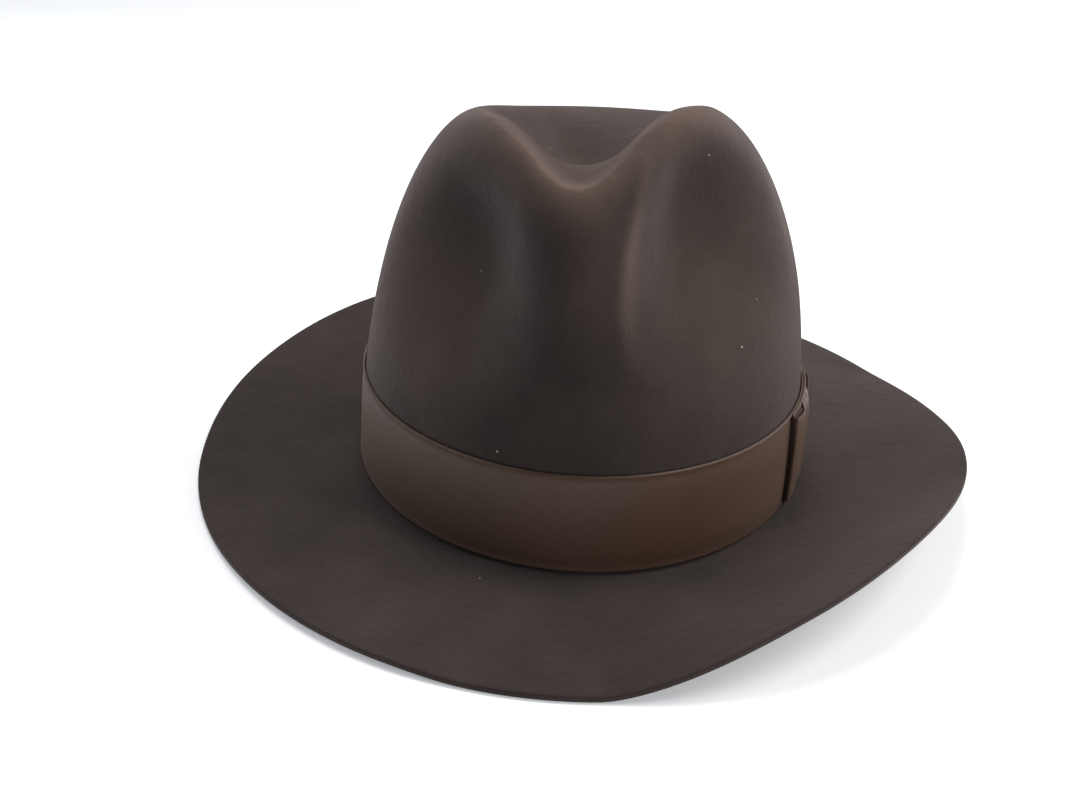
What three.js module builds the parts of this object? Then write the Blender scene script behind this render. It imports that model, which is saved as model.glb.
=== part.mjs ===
// A soft felt fedora with a pinched, creased crown, ribbon and bow, sweatband and lining.
// Millimetres, +Z up. The hat faces -Y, and the wearer's left is +X.
import * as THREE from "three";
import { LoftGeometry } from "three/addons/geometries/LoftGeometry.js";
import { mergeVertices } from "three/addons/utils/BufferGeometryUtils.js";

// ---- Driving dimensions ------------------------------------------------------------------

const HALF_WIDTH = 86.6; // felt outside, at the foot of the crown
const HALF_LENGTH = 101; // felt outside, at the foot of the crown
const EGG = 0.015; // how much narrower the front half of the head oval is
const FELT = 2.2; // felt thickness
const BREAK_RISE = 4.6; // top of the brim above the table, where the crown starts
const BREAK_RADIUS = 1.6; // fillet between crown and brim
const LEAN = 4.8; // sideways lean of the crown for each 100 mm of height
const GAP = 0.35; // clearance between pieces that lie on each other

// Crown. Stations are [degrees round the crease, value]; 0 is the front of the crease.
const CREASE_TURN = 18; // degrees that the crease is turned towards the wearer's right
const CREST_HEIGHT = [[-135, 127], [-90, 133], [-44, 140], [-22, 136], [0, 126],
  [22, 140], [44, 144.5], [90, 137], [135, 127], [180, 120]];
const CREST_SHARE = [[-135, 0.5], [-90, 0.5], [-44, 0.57], [-22, 0.645], [0, 0.76],
  [22, 0.605], [44, 0.535], [90, 0.46], [135, 0.5], [180, 0.71]];
const DENT_FLOOR = 110; // height of the middle of the crease above the break
const WALL_POWER = 2.2; // how late the crown wall starts to turn inwards
const WALL_ROUNDING = 0.6; // how fully the wall rounds over into the crest
// Each front pinch: degrees from the crease to its front ridge, middle and far side, its depth,
// the share of the crest height where it is deepest, and the shares over which it fades.
const PINCHES = [
  { side: 1, ridge: 11.5, centre: 35, outer: 76, depth: 16, level: 0.77, above: 0.24, below: 0.4 },
  { side: -1, ridge: -1, centre: 31, outer: 74, depth: 19, level: 0.68, above: 0.32, below: 0.36 },
];
const RIDGE_SPREAD = 110; // how much further out a ridge stands above and below its narrowest
const RIDGE_WAIST = 0.72; // share of the crest height where the ridges stand closest
const RIDGE_SOFTNESS = 1.8; // above 1, a pinch starts gently beside its ridge

// Brim. Heights are of the edge's top above the break; the brim rests where they are lowest.
const BRIM_WIDTH = 65;
const BRIM_LONGER_SIDES = 4.4; // extra width at the back, taken off at the front
const BRIM_EDGE_HEIGHT = [[-150, 10], [-120, 3.5], [-90, -3.2], [-60, -1.5], [-35, -1.2],
  [-10, -3.2], [18, 16.5], [40, 23.5], [65, 15.5], [90, 3.5], [110, -3.3],
  [124, -3.3], [150, 13], [180, 11]];
const BRIM_CURL = 1.6; // above 1, the brim rises late, near its edge

// Ribbon and bow
const RIBBON_HEIGHT = 36;
const RIBBON_THICKNESS = 0.7;
const RIBBON_FOOT = 1.3; // bottom of the ribbon above the break
const TACK_ANGLES = [-130, -45, 20, 160]; // where hidden tacks hold the ribbon
const BOW_START = 49; // degrees from the front to the bow's front end
const BOW_END = 76;
const BOW_KNOT_WIDTH = 13;
const BOW_LOOP_THICKNESS = 2;
const BOW_BASE_THICKNESS = 0.8;

// Sweatband
const LEATHER = 1.1;
const SWEATBAND_TOP = 48; // top edge above the break
const SWEATBAND_TOP_INSET = 2.4; // how far the top edge stands in from the felt
const REED_RADIUS = 0.6;
const REED_TAPE = 0.35;
const THREAD_RADIUS = 0.25;
const SEAM_TAPE_WIDTH = 8;
const LABEL_WIDTH = 14;
const LABEL_HEIGHT = 20;
const LABEL_FOOT = 26; // lower edge above the break

// Lining
const SATIN = 0.45;
const LINING_FOOT = 38; // lower edge above the break, tucked behind the sweatband
const LINING_SIDE_TOP = 0.85; // share of the wall that the side piece covers
const LINING_TIP_EDGE = 0.93; // where the tip piece starts
const LINING_EASE = 1.6; // clearance between the felt and its lining
const PIPING_RADIUS = 0.8;
const PROTECTOR_START = 1.4; // how far from the crest (1) to the middle (2) it starts
const FILM = 0.4;

const COLUMN = 3.75; // millimetres of the hat's mean half sizes for each column round it
const ROUND = Math.round((HALF_WIDTH + HALF_LENGTH) / COLUMN);
const CROWDING = 0.35; // how much closer the columns stand at the front of the crease
const MERGE_DISTANCE = 1e-4; // points closer than this are one
const MIDDLE = 2; // travel at the dent's middle, where a row shrinks to one point
const WALL_PASSES = 1; // tries at finding the felt that a point beside the wall faces
const TILT_STEP = 0.02; // travel either side of a point that gives its slope

// ---- Materials ---------------------------------------------------------------------------

const material = (color, roughness) =>
  new THREE.MeshStandardMaterial({ color, roughness, metalness: 0 });
const FELT_BROWN = material(0x3c3531, 0.95);
const RIBBON_BROWN = material(0x4b372a, 0.6);
const LEATHER_BROWN = material(0x54341f, 0.55);
const TAPE_BLACK = material(0x201d1b, 0.8);
const REED_CREAM = material(0xd8cfbd, 0.5);
const THREAD_BROWN = material(0x6a5546, 0.8);
const SATIN_BROWN = material(0x6b5a49, 0.4);
const FILM_CLEAR = material(0xe6e4df, 0.15);
const LABEL_CREAM = material(0xe9e2d0, 0.8);

// ---- Numbers -----------------------------------------------------------------------------

const degrees = (angle) => THREE.MathUtils.degToRad(angle);
const lerp = THREE.MathUtils.lerp;
const clamp = THREE.MathUtils.clamp;

/** A smooth closed curve through [degrees, value] stations, read at an angle in degrees. */
function around(stations, angle) {
  const count = stations.length;
  const at = (i) => {
    const turn = Math.floor(i / count);
    const [station, value] = stations[i - turn * count];
    return [station + 360 * turn, value];
  };
  const first = stations[0][0];
  const wrapped = THREE.MathUtils.euclideanModulo(angle - first, 360) + first;
  let i = 0;
  while (at(i + 1)[0] <= wrapped) i += 1;
  const [a, va] = at(i);
  const [b, vb] = at(i + 1);
  const slope = (k) => (at(k + 1)[1] - at(k - 1)[1]) / (at(k + 1)[0] - at(k - 1)[0]);
  const u = (wrapped - a) / (b - a);
  const ends = (2 * u ** 3 - 3 * u ** 2 + 1) * va + (3 * u ** 2 - 2 * u ** 3) * vb;
  const slopes = (u ** 3 - 2 * u ** 2 + u) * slope(i) + (u ** 3 - u ** 2) * slope(i + 1);
  return ends + slopes * (b - a);
}

/** 1 in the middle, falling smoothly to 0 at -1 and 1. */
const bump = (x) => (1 - Math.min(Math.abs(x), 1) ** 2) ** 2;

// ---- The felt's surface ------------------------------------------------------------------

/** A point of the head oval, `out` beyond the felt's foot, at a height above the break. */
function oval(angle, out, height, share = 1) {
  const t = degrees(angle);
  return new THREE.Vector3(
    share * (HALF_WIDTH + out) * Math.sin(t) * (1 - EGG * Math.cos(t)) + (LEAN * height) / 100,
    -share * (HALF_LENGTH + out) * Math.cos(t),
    BREAK_RISE + height,
  );
}

/** How far in from the oval the front pinches push the wall, as a share of the oval. */
function pinch(crease, level) {
  const pushes = PINCHES.map(({ side, ridge, centre, outer, depth, level: deepest, above, below }) => {
    const off = crease * side;
    const start = ridge + RIDGE_SPREAD * (level - RIDGE_WAIST) ** 2;
    const rise = clamp((off - start) / Math.max(centre - start, 1), 0, 1);
    const fall = clamp((off - centre) / (outer - centre), 0, 1);
    const across = Math.sin((rise * Math.PI) / 2) ** RIDGE_SOFTNESS * Math.cos((fall * Math.PI) / 2) ** 2;
    const up = level - deepest;
    return depth * across * bump(up / (up < 0 ? below : above));
  });
  return (pushes[0] + pushes[1]) / ((HALF_WIDTH + HALF_LENGTH) / 2);
}

/** The crown's outside. Travel is 0 at the foot, 1 on the crest and 2 in the dent's middle. */
function crownOutside(angle, travel) {
  const crease = THREE.MathUtils.euclideanModulo(angle + CREASE_TURN + 180, 360) - 180;
  const crest = around(CREST_HEIGHT, crease);
  const crestShare = around(CREST_SHARE, crease);
  if (travel > 1) {
    const inward = travel - 1;
    const fall = inward * inward * (3 - 2 * inward);
    return oval(angle, 0, lerp(crest, DENT_FLOOR, fall), crestShare * (1 - inward));
  }
  const rise = Math.sin((Math.max(travel, 0) * Math.PI) / 2);
  const height = lerp(BREAK_RADIUS, crest, rise);
  const level = height / crest;
  const fullness = (1 - Math.min(level, 1) ** WALL_POWER) ** WALL_ROUNDING;
  const share = lerp(crestShare, 1, fullness) - pinch(crease, level);
  return oval(angle, 0, height, share);
}

/** A point `depth` below the crown's outside, measured square to it. */
function crown(angle, travel, depth = 0) {
  const point = crownOutside(angle, travel);
  if (travel >= MIDDLE) return point.setZ(point.z - depth);
  const round = crownOutside(angle + 1, travel).sub(crownOutside(angle - 1, travel));
  const above = crownOutside(angle, travel + TILT_STEP);
  const below = crownOutside(angle, Math.max(travel - TILT_STEP, 0));
  return point.addScaledVector(round.cross(above.sub(below)).normalize(), -depth);
}

/** The travel up the wall that reaches a height above the break. */
function travelAt(angle, height) {
  const crest = around(CREST_HEIGHT, angle + CREASE_TURN);
  const rise = clamp((height - BREAK_RADIUS) / (crest - BREAK_RADIUS), 0, 1);
  return (Math.asin(rise) * 2) / Math.PI;
}

/** A point beside the crown wall, at a height above the break and `depth` inside the felt. */
function wall(angle, height, depth) {
  let point = crown(angle, travelAt(angle, height), depth);
  for (let pass = 0; pass < WALL_PASSES; pass += 1) {
    const foot = height - (point.z - BREAK_RISE - height);
    point = crown(angle, travelAt(angle, foot), depth);
  }
  point.z = BREAK_RISE + height;
  return point;
}

/** The brim's top. Reach is 0 at the crown and 1 at the edge. */
function brimTop(angle, reach) {
  const width = BRIM_WIDTH - BRIM_LONGER_SIDES * Math.cos(degrees(angle));
  const out = lerp(BREAK_RADIUS, width, reach);
  const point = oval(angle, out, 0);
  const lift = around(BRIM_EDGE_HEIGHT, angle) * reach ** BRIM_CURL;
  point.z = Math.max(BREAK_RISE + lift, FELT);
  return point;
}

// ---- Solids ------------------------------------------------------------------------------

/** Six times the volume inside a closed geometry, negative when its faces point inwards. */
function signedVolume(geometry) {
  const at = geometry.attributes.position;
  const corners = [new THREE.Vector3(), new THREE.Vector3(), new THREE.Vector3()];
  let sum = 0;
  for (let i = 0; i < geometry.index.count; i += 3) {
    corners.forEach((corner, k) => corner.fromBufferAttribute(at, geometry.index.getX(i + k)));
    sum += corners[0].dot(corners[1].cross(corners[2]));
  }
  return sum;
}

/** The same geometry without triangles whose corners were merged into each other. */
function withoutSlivers(geometry) {
  const kept = [];
  for (let i = 0; i < geometry.index.count; i += 3) {
    const [a, b, c] = [0, 1, 2].map((k) => geometry.index.getX(i + k));
    if (a !== b && b !== c && c !== a) kept.push(a, b, c);
  }
  return geometry.setIndex(kept);
}

/** Ways that a skin's first and last sections are closed. */
const Ends = Object.freeze({ CAPPED: "capped", JOINED: "joined", POINTS: "points" });

/** A closed body skinned through closed sections, its faces turned outwards. */
function skin(sections, ends) {
  const capped = ends === Ends.CAPPED;
  const build = (rows) => {
    const all = ends === Ends.JOINED ? [...rows, rows[0]] : rows;
    const loft = new LoftGeometry(all, { capStart: capped, capEnd: capped });
    const plain = new THREE.BufferGeometry().setIndex(loft.index);
    plain.setAttribute("position", loft.attributes.position);
    return withoutSlivers(mergeVertices(plain, MERGE_DISTANCE));
  };
  const geometry = build(sections);
  if (signedVolume(geometry) > 0) return geometry;
  return build(sections.map((section) => [...section].reverse()));
}

/** One closed row of points round the hat, closest together where the front pinches are. */
function row(pointAt) {
  return Array.from({ length: ROUND }, (_, i) => {
    const t = (i / ROUND) * Math.PI * 2;
    return pointAt(THREE.MathUtils.radToDeg(t - CROWDING * Math.sin(t)) - CREASE_TURN);
  });
}

/** A hoop whose cross-section is a closed outline of [height, depth] points on the wall. */
function hoop(outline) {
  return skin(outline.map(([height, depth]) => row((angle) => wall(angle, height, depth))), Ends.JOINED);
}

/** A round thread or cord that runs all the way round at one height and depth. */
function cordHoop(height, depth, radius, sides = 3) {
  const outline = Array.from({ length: sides }, (_, i) => {
    const t = (i / sides) * Math.PI * 2;
    return [height + radius * Math.sin(t), depth + radius * Math.cos(t)];
  });
  return hoop(outline);
}

/** A domed shell over the crown's rows from one travel to the middle, between two depths. */
function crownCap(from, near, far) {
  const travels = CROWN_TRAVELS.filter((travel) => travel >= from);
  const outer = travels.map((t) => row((angle) => crown(angle, t, near)));
  const inner = travels.map((t) => row((angle) => crown(angle, t, far)));
  return skin([...outer.reverse(), ...inner], Ends.POINTS);
}

/** A block bent round the wall: outlineAt(share) gives [height, depth] points at each step. */
function bentBlock(fromAngle, toAngle, steps, outlineAt) {
  const sections = Array.from({ length: steps + 1 }, (_, i) => {
    const share = i / steps;
    const angle = lerp(fromAngle, toAngle, share);
    return outlineAt(share).map(([height, depth]) => wall(angle, height, depth));
  });
  return skin(sections, Ends.CAPPED);
}

/**
 * An upright strip as a closed outline of [height, depth] points. It has points at a third and
 * two thirds of its height, so that strips of one height lie evenly on each other.
 */
function strip(bottom, top, near, far, bevel = 0) {
  const heights = [1 / 3, 2 / 3].map((share) => lerp(bottom, top, share));
  const face = (depth) => [bottom + bevel, ...heights, top - bevel].map((height) => [height, depth]);
  const edge = (height) => (bevel > 0 ? [[height, lerp(near, far, 0.5)]] : []);
  return [...face(near), ...edge(top), ...face(far).reverse(), ...edge(bottom)];
}

/** Degrees round the wall that a length takes up, near an angle. */
const arcDegrees = (length) => THREE.MathUtils.radToDeg(length / ((HALF_WIDTH + HALF_LENGTH) / 2));

// Rows of the crown, shared by the felt and all that lines it so that their facets match.
const WALL_TRAVELS = [0, 0.12, 0.24, 0.36, 0.47, 0.58, 0.68, 0.77, 0.85, 0.93, 1];
const DENT_TRAVELS = [1.08, 1.17, 1.27, 1.4, 1.56, 1.76, 1.93, MIDDLE];
const CROWN_TRAVELS = [...WALL_TRAVELS, ...DENT_TRAVELS];

// ---- Felt body ---------------------------------------------------------------------------

const BRIM_REACHES = [0, 0.2, 0.4, 0.58, 0.72, 0.82, 0.91, 1];

/** A quarter turn of the rounded corner between crown and brim, at a radius from its centre. */
function breakRow(turn, radius) {
  const t = degrees(turn);
  const out = BREAK_RADIUS - radius * Math.cos(t);
  return row((angle) => {
    const point = oval(angle, out, 0);
    point.z = BREAK_RISE + BREAK_RADIUS - radius * Math.sin(t);
    return point;
  });
}

function feltBody() {
  const descending = [...CROWN_TRAVELS].reverse();
  const lowered = (point) => point.setZ(point.z - FELT);
  const edge = (out, drop) => row((angle) => {
    const rim = brimTop(angle, 1);
    return brimTop(angle, 1 + out / BRIM_WIDTH).setZ(rim.z - drop);
  });
  return skin([
    ...descending.map((t) => row((angle) => crown(angle, t))),
    breakRow(45, BREAK_RADIUS),
    ...BRIM_REACHES.map((reach) => row((angle) => brimTop(angle, reach))),
    edge(0.5, 0.5),
    edge(0.5, FELT - 0.5),
    ...[...BRIM_REACHES].reverse().map((reach) => row((angle) => lowered(brimTop(angle, reach)))),
    breakRow(60, BREAK_RADIUS + FELT),
    breakRow(30, BREAK_RADIUS + FELT),
    ...CROWN_TRAVELS.map((t) => row((angle) => crown(angle, t, FELT))),
  ], Ends.POINTS);
}

// ---- Ribbon and bow ----------------------------------------------------------------------

const RIBBON_TOP = RIBBON_FOOT + RIBBON_HEIGHT;
const RIBBON_FACE = GAP + RIBBON_THICKNESS; // how far the ribbon's face stands off the felt

function hatRibbon() {
  return hoop(strip(RIBBON_FOOT, RIBBON_TOP, -RIBBON_FACE, -GAP));
}

/** A short thread over the ribbon's top edge, from its face up to the felt. */
function ribbonTack(angle) {
  const half = arcDegrees(0.6);
  const face = -(RIBBON_FACE + GAP);
  return bentBlock(angle - half, angle + half, 1, () => [[RIBBON_TOP - 2, face],
    [RIBBON_TOP - 2, face - 0.4], [RIBBON_TOP + 1.2, face - 0.4], [RIBBON_TOP + 2, -GAP],
    [RIBBON_TOP + 1.2, -GAP], [RIBBON_TOP + GAP, face]]);
}

const BOW_BACK = RIBBON_FACE + GAP;
const BOW_FACE = BOW_BACK + BOW_BASE_THICKNESS + GAP;
const BOW_MIDDLE = (BOW_START + BOW_END) / 2;
const KNOT_HALF = arcDegrees(BOW_KNOT_WIDTH) / 2;

function bowBase() {
  const outline = strip(RIBBON_FOOT, RIBBON_TOP, -BOW_BACK, -(BOW_BACK + BOW_BASE_THICKNESS));
  return bentBlock(BOW_START, BOW_END, 8, () => outline);
}

/** One flattened loop, from its folded end to where the knot gathers it. */
function bowLoop(end) {
  const side = Math.sign(end - BOW_MIDDLE);
  const start = BOW_MIDDLE + side * (KNOT_HALF + arcDegrees(GAP * 2));
  const fold = end - side * arcDegrees(1.5);
  return bentBlock(start, fold, 6, (share) => {
    const gather = 3 * (1 - share) ** 2;
    const thickness = BOW_LOOP_THICKNESS * (0.55 + 0.45 * Math.sin(Math.PI * Math.min(share * 1.2, 0.9)));
    return strip(RIBBON_FOOT + 1 + gather, RIBBON_TOP - 1 - gather, -BOW_FACE,
      -(BOW_FACE + thickness), 0.8);
  });
}

function bowKnot() {
  const outline = strip(RIBBON_FOOT + 0.4, RIBBON_TOP - 0.4, -BOW_FACE,
    -(BOW_FACE + BOW_LOOP_THICKNESS + 1), 0.9);
  return bentBlock(BOW_MIDDLE - KNOT_HALF, BOW_MIDDLE + KNOT_HALF, 4, () => outline);
}

/** A small thread that holds a corner of the bow's base, past the loop's folded end. */
function bowTack(end) {
  const side = Math.sign(end - BOW_MIDDLE);
  const face = -(BOW_BACK + BOW_BASE_THICKNESS + GAP);
  const inner = end - side * arcDegrees(0.3);
  const outline = strip(RIBBON_TOP - 6, RIBBON_TOP - 2, face, face - 0.4);
  return bentBlock(inner, inner - side * arcDegrees(0.6), 1, () => outline);
}

// ---- Sweatband ---------------------------------------------------------------------------

const TAPE_RADIUS = REED_RADIUS + GAP + REED_TAPE;
const REED_DEPTH = FELT + GAP + TAPE_RADIUS;
const REED_HEIGHT = BREAK_RADIUS + 0.8;
const LEATHER_FOOT = REED_HEIGHT + REED_RADIUS + GAP;
const TAPE_TOP = LEATHER_FOOT + 3;
const LEATHER_OUT = REED_DEPTH - LEATHER / 2; // depth of the leather's outer face at its foot
const TAPE_INNER_FACE = REED_DEPTH + Math.max(TAPE_RADIUS, LEATHER / 2 + GAP + REED_TAPE);

const BAND_SPAN = 14; // rows of the leather are about this far apart

/** Depth of the leather's outer face at a height. */
function leatherDepth(height) {
  return LEATHER_OUT + SWEATBAND_TOP_INSET * clamp((height - TAPE_TOP) / (SWEATBAND_TOP - TAPE_TOP), 0, 1);
}

function sweatband() {
  const spans = Math.round((SWEATBAND_TOP - TAPE_TOP) / BAND_SPAN);
  const above = Array.from({ length: spans }, (_, i) => lerp(TAPE_TOP, SWEATBAND_TOP, (i + 1) / spans));
  const heights = [LEATHER_FOOT, TAPE_TOP + GAP, ...above];
  const outer = heights.map((height) => [height, leatherDepth(height)]);
  const inner = heights.map((height) => [height, leatherDepth(height) + LEATHER]).reverse();
  return hoop([...outer, ...inner]);
}

/** The folded tape: a U that holds the reed at its bottom and the leather between its legs. */
function reedTape() {
  const outerHalf = TAPE_INNER_FACE - REED_DEPTH;
  const innerHalf = outerHalf - REED_TAPE;
  const bottom = REED_HEIGHT - REED_RADIUS - GAP;
  return hoop([[TAPE_TOP, REED_DEPTH - outerHalf], [REED_HEIGHT, REED_DEPTH - outerHalf],
    [bottom - REED_TAPE, REED_DEPTH], [REED_HEIGHT, REED_DEPTH + outerHalf],
    [TAPE_TOP, REED_DEPTH + outerHalf], [TAPE_TOP, REED_DEPTH + innerHalf],
    [REED_HEIGHT, REED_DEPTH + innerHalf], [bottom, REED_DEPTH],
    [REED_HEIGHT, REED_DEPTH - innerHalf], [TAPE_TOP, REED_DEPTH - innerHalf]]);
}

const PATCH_GAP = 2 * GAP; // a flat patch bridges the leather's curve, so it needs more room
const BAND_FACE = (height) => leatherDepth(height) + LEATHER + PATCH_GAP;

/** A thin patch on the leather's inner face, which follows it in four steps of height. */
function bandPatch(start, end, bottom, top, thickness) {
  return skin([0, 1, 2, 3, 4].map((step) => {
    const height = lerp(bottom, top, step / 4);
    const near = BAND_FACE(height);
    const corners = [[start, near], [end, near], [end, near + thickness], [start, near + thickness]];
    return corners.map(([angle, depth]) => wall(angle, height, depth));
  }), Ends.CAPPED);
}

function seamTape() {
  const half = arcDegrees(SEAM_TAPE_WIDTH) / 2;
  return bandPatch(180 - half, 180 + half, TAPE_TOP + 1, SWEATBAND_TOP - 1, 0.4);
}

const REAR_BOW_HEIGHT = 9;
const REAR_BOW_FOOT = TAPE_TOP + 3;

function rearBowPiece(halfLength, extra, near, thickness) {
  const half = arcDegrees(halfLength);
  const bottom = REAR_BOW_FOOT - extra;
  const top = REAR_BOW_FOOT + REAR_BOW_HEIGHT + extra;
  const face = Math.max(BAND_FACE(bottom), BAND_FACE(top)) + 0.4 + PATCH_GAP + near;
  return bentBlock(180 - half, 180 + half, 6, (share) => {
    const waist = extra === 0 ? 2.2 * bump((share - 0.5) * 3) : 0;
    return strip(bottom + waist, top - waist, face, face + thickness, 0.4);
  });
}

function sizeLabel() {
  const start = 180 + arcDegrees(SEAM_TAPE_WIDTH) / 2 + 2;
  const end = start + arcDegrees(LABEL_WIDTH);
  return bandPatch(start, end, LABEL_FOOT, LABEL_FOOT + LABEL_HEIGHT, 0.3);
}

// ---- Lining ------------------------------------------------------------------------------

const LINING_DEPTH = FELT + LINING_EASE;
const LINING_FACE = LINING_DEPTH + SATIN;

function liningSide() {
  const above = travelAt(0, LINING_FOOT + 4);
  const travels = WALL_TRAVELS.filter((travel) => travel > above && travel <= LINING_SIDE_TOP);
  const face = (depth) => [
    row((angle) => crown(angle, travelAt(angle, LINING_FOOT), depth)),
    ...travels.map((t) => row((angle) => crown(angle, t, depth))),
  ];
  return skin([...face(LINING_DEPTH), ...face(LINING_FACE).reverse()], Ends.JOINED);
}

function liningTip() {
  return crownCap(LINING_TIP_EDGE, LINING_DEPTH, LINING_FACE);
}

/** The piped seam between the lining's side and tip. */
function liningPiping() {
  const middle = lerp(LINING_SIDE_TOP, LINING_TIP_EDGE, 0.35);
  const spread = (LINING_TIP_EDGE - LINING_SIDE_TOP) / 5;
  const depth = LINING_FACE + PIPING_RADIUS;
  const corners = [[middle - spread, depth], [middle, depth + PIPING_RADIUS],
    [middle + spread, depth], [middle, depth - PIPING_RADIUS]];
  return skin(corners.map(([travel, at]) => row((angle) => crown(angle, travel, at))), Ends.JOINED);
}

/** The lining side's back seam: a narrow fold that runs up the lining. */
function liningSeam() {
  const half = arcDegrees(3);
  const near = LINING_FACE + GAP * 2;
  const start = travelAt(180, SWEATBAND_TOP + 3);
  const travels = WALL_TRAVELS.filter((travel) => travel > start && travel < LINING_SIDE_TOP);
  return skin(travels.map((travel) =>
    [[-half, near], [half, near], [half, near + 0.5], [-half, near + 0.5]]
      .map(([side, depth]) => crown(180 + side, travel, depth))), Ends.CAPPED);
}

function tipProtector() {
  return crownCap(PROTECTOR_START, LINING_FACE + GAP, LINING_FACE + GAP + FILM);
}

/** The stitching round the protector's edge, kept as one plain hoop. */
function protectorStitching() {
  const near = LINING_FACE + GAP;
  const corners = [[-0.05, near], [-0.015, near], [-0.015, near + FILM], [-0.05, near + FILM]];
  return skin(corners.map(([shift, depth]) => row((angle) => crown(angle, PROTECTOR_START + shift, depth))),
    Ends.JOINED);
}

// ---- Assembly ----------------------------------------------------------------------------

const hat = new THREE.Group();

function add(name, geometry, look) {
  const mesh = new THREE.Mesh(geometry, look);
  mesh.name = name;
  hat.add(mesh);
}

add("felt_body", feltBody(), FELT_BROWN);
add("hat_ribbon", hatRibbon(), RIBBON_BROWN);
TACK_ANGLES.forEach((angle, i) => add(`ribbon_tack_${i + 1}`, ribbonTack(angle), THREAD_BROWN));
add("bow_base", bowBase(), RIBBON_BROWN);
add("bow_front_loop", bowLoop(BOW_START), RIBBON_BROWN);
add("bow_rear_loop", bowLoop(BOW_END), RIBBON_BROWN);
add("bow_knot", bowKnot(), RIBBON_BROWN);
add("bow_front_tack", bowTack(BOW_START), THREAD_BROWN);
add("bow_rear_tack", bowTack(BOW_END), THREAD_BROWN);

add("sweatband", sweatband(), LEATHER_BROWN);
add("sweatband_reed", cordHoop(REED_HEIGHT, REED_DEPTH, REED_RADIUS, 5), REED_CREAM);
add("reed_tape", reedTape(), TAPE_BLACK);
add("sweatband_lockstitch",
  cordHoop(TAPE_TOP - 1, TAPE_INNER_FACE + GAP + THREAD_RADIUS, THREAD_RADIUS), THREAD_BROWN);
add("sweatband_sewing_thread",
  cordHoop(0.4, FELT + GAP + THREAD_RADIUS * 2, THREAD_RADIUS), THREAD_BROWN);
add("sweatband_seam_tape", seamTape(), LEATHER_BROWN);
add("rear_bow_loops", rearBowPiece(11, 0, 0, 1), SATIN_BROWN);
add("rear_bow_knot", rearBowPiece(2.4, -1.6, 1 + GAP, 0.9), SATIN_BROWN);
add("size_label", sizeLabel(), LABEL_CREAM);

add("lining_side", liningSide(), SATIN_BROWN);
add("lining_tip", liningTip(), SATIN_BROWN);
add("lining_piping", liningPiping(), RIBBON_BROWN);
add("lining_side_seam", liningSeam(), SATIN_BROWN);
add("lining_tip_protector", tipProtector(), FILM_CLEAR);
add("protector_stitching", protectorStitching(), THREAD_BROWN);

// The origin is the middle of the hat's base.
const bounds = new THREE.Box3().setFromObject(hat);
const middle = bounds.getCenter(new THREE.Vector3());
hat.position.set(-middle.x, -middle.y, -bounds.min.z);

export default hat;
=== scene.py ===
"""A felt fedora dressed for rendering: felt, ribbon and bow, sweatband and lining.

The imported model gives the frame. Every length here is in metres, the hat faces -Y, and the
wearer's left is +X. Angles run round the hat in degrees, from 0 at the front to 90 at the bow.
"""

import logging
import math
from collections.abc import Callable
from dataclasses import dataclass
from enum import Enum

import bpy
import numpy as np
from mathutils import Matrix, Vector

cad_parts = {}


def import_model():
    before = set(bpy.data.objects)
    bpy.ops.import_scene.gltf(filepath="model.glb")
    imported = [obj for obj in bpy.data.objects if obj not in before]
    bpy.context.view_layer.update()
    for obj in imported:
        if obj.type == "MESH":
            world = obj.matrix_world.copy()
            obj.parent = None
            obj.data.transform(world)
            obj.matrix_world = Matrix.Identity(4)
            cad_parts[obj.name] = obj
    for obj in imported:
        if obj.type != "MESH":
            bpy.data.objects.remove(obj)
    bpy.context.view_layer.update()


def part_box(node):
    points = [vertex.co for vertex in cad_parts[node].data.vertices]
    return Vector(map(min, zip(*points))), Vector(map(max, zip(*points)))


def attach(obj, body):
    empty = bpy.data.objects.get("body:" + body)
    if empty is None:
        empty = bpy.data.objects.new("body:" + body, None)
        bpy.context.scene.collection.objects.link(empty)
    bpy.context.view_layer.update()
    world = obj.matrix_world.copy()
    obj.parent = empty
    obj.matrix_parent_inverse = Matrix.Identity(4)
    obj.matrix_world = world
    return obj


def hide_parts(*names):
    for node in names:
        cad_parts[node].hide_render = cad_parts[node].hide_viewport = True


log = logging.getLogger("fedora")

Stations = tuple[tuple[float, float], ...]
Array = np.ndarray
MM = 0.001
PAINTED_HIGHLIGHT = "painted_highlight"  # how much painted highlight a point of the felt gets, from 0 to 1
RIDGE_SPREAD = 110.0  # how fast the pinch ridges spread above and below their waist, in degrees
RIDGE_WAIST = 0.72  # share of the crest's height where the pinch ridges stand closest
EASING_SAMPLES = 25  # readings averaged by eased()


# ---- The hat's form ----------------------------------------------------------------------


def around(stations: Stations, angle: Array) -> Array:
    """Read a smooth closed curve through stations.

    Args:
        stations: (degrees, value) pairs in rising order.
        angle: where to read it, in degrees.

    Returns:
        The curve's values at those angles.
    """
    degrees = np.array([station[0] for station in stations], float)
    values = np.array([station[1] for station in stations], float)
    degrees = np.concatenate([degrees[-2:] - 360, degrees, degrees[:3] + 360])
    values = np.concatenate([values[-2:], values, values[:3]])
    slopes = np.zeros_like(values)
    slopes[1:-1] = (values[2:] - values[:-2]) / (degrees[2:] - degrees[:-2])
    wrapped = (np.asarray(angle, float) - degrees[2]) % 360 + degrees[2]
    k = np.clip(np.searchsorted(degrees, wrapped, side="right") - 1, 1, len(degrees) - 3)
    span = degrees[k + 1] - degrees[k]
    u = (wrapped - degrees[k]) / span
    ends = (2 * u**3 - 3 * u**2 + 1) * values[k] + (3 * u**2 - 2 * u**3) * values[k + 1]
    return ends + ((u**3 - 2 * u**2 + u) * slopes[k] + (u**3 - u**2) * slopes[k + 1]) * span


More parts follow.
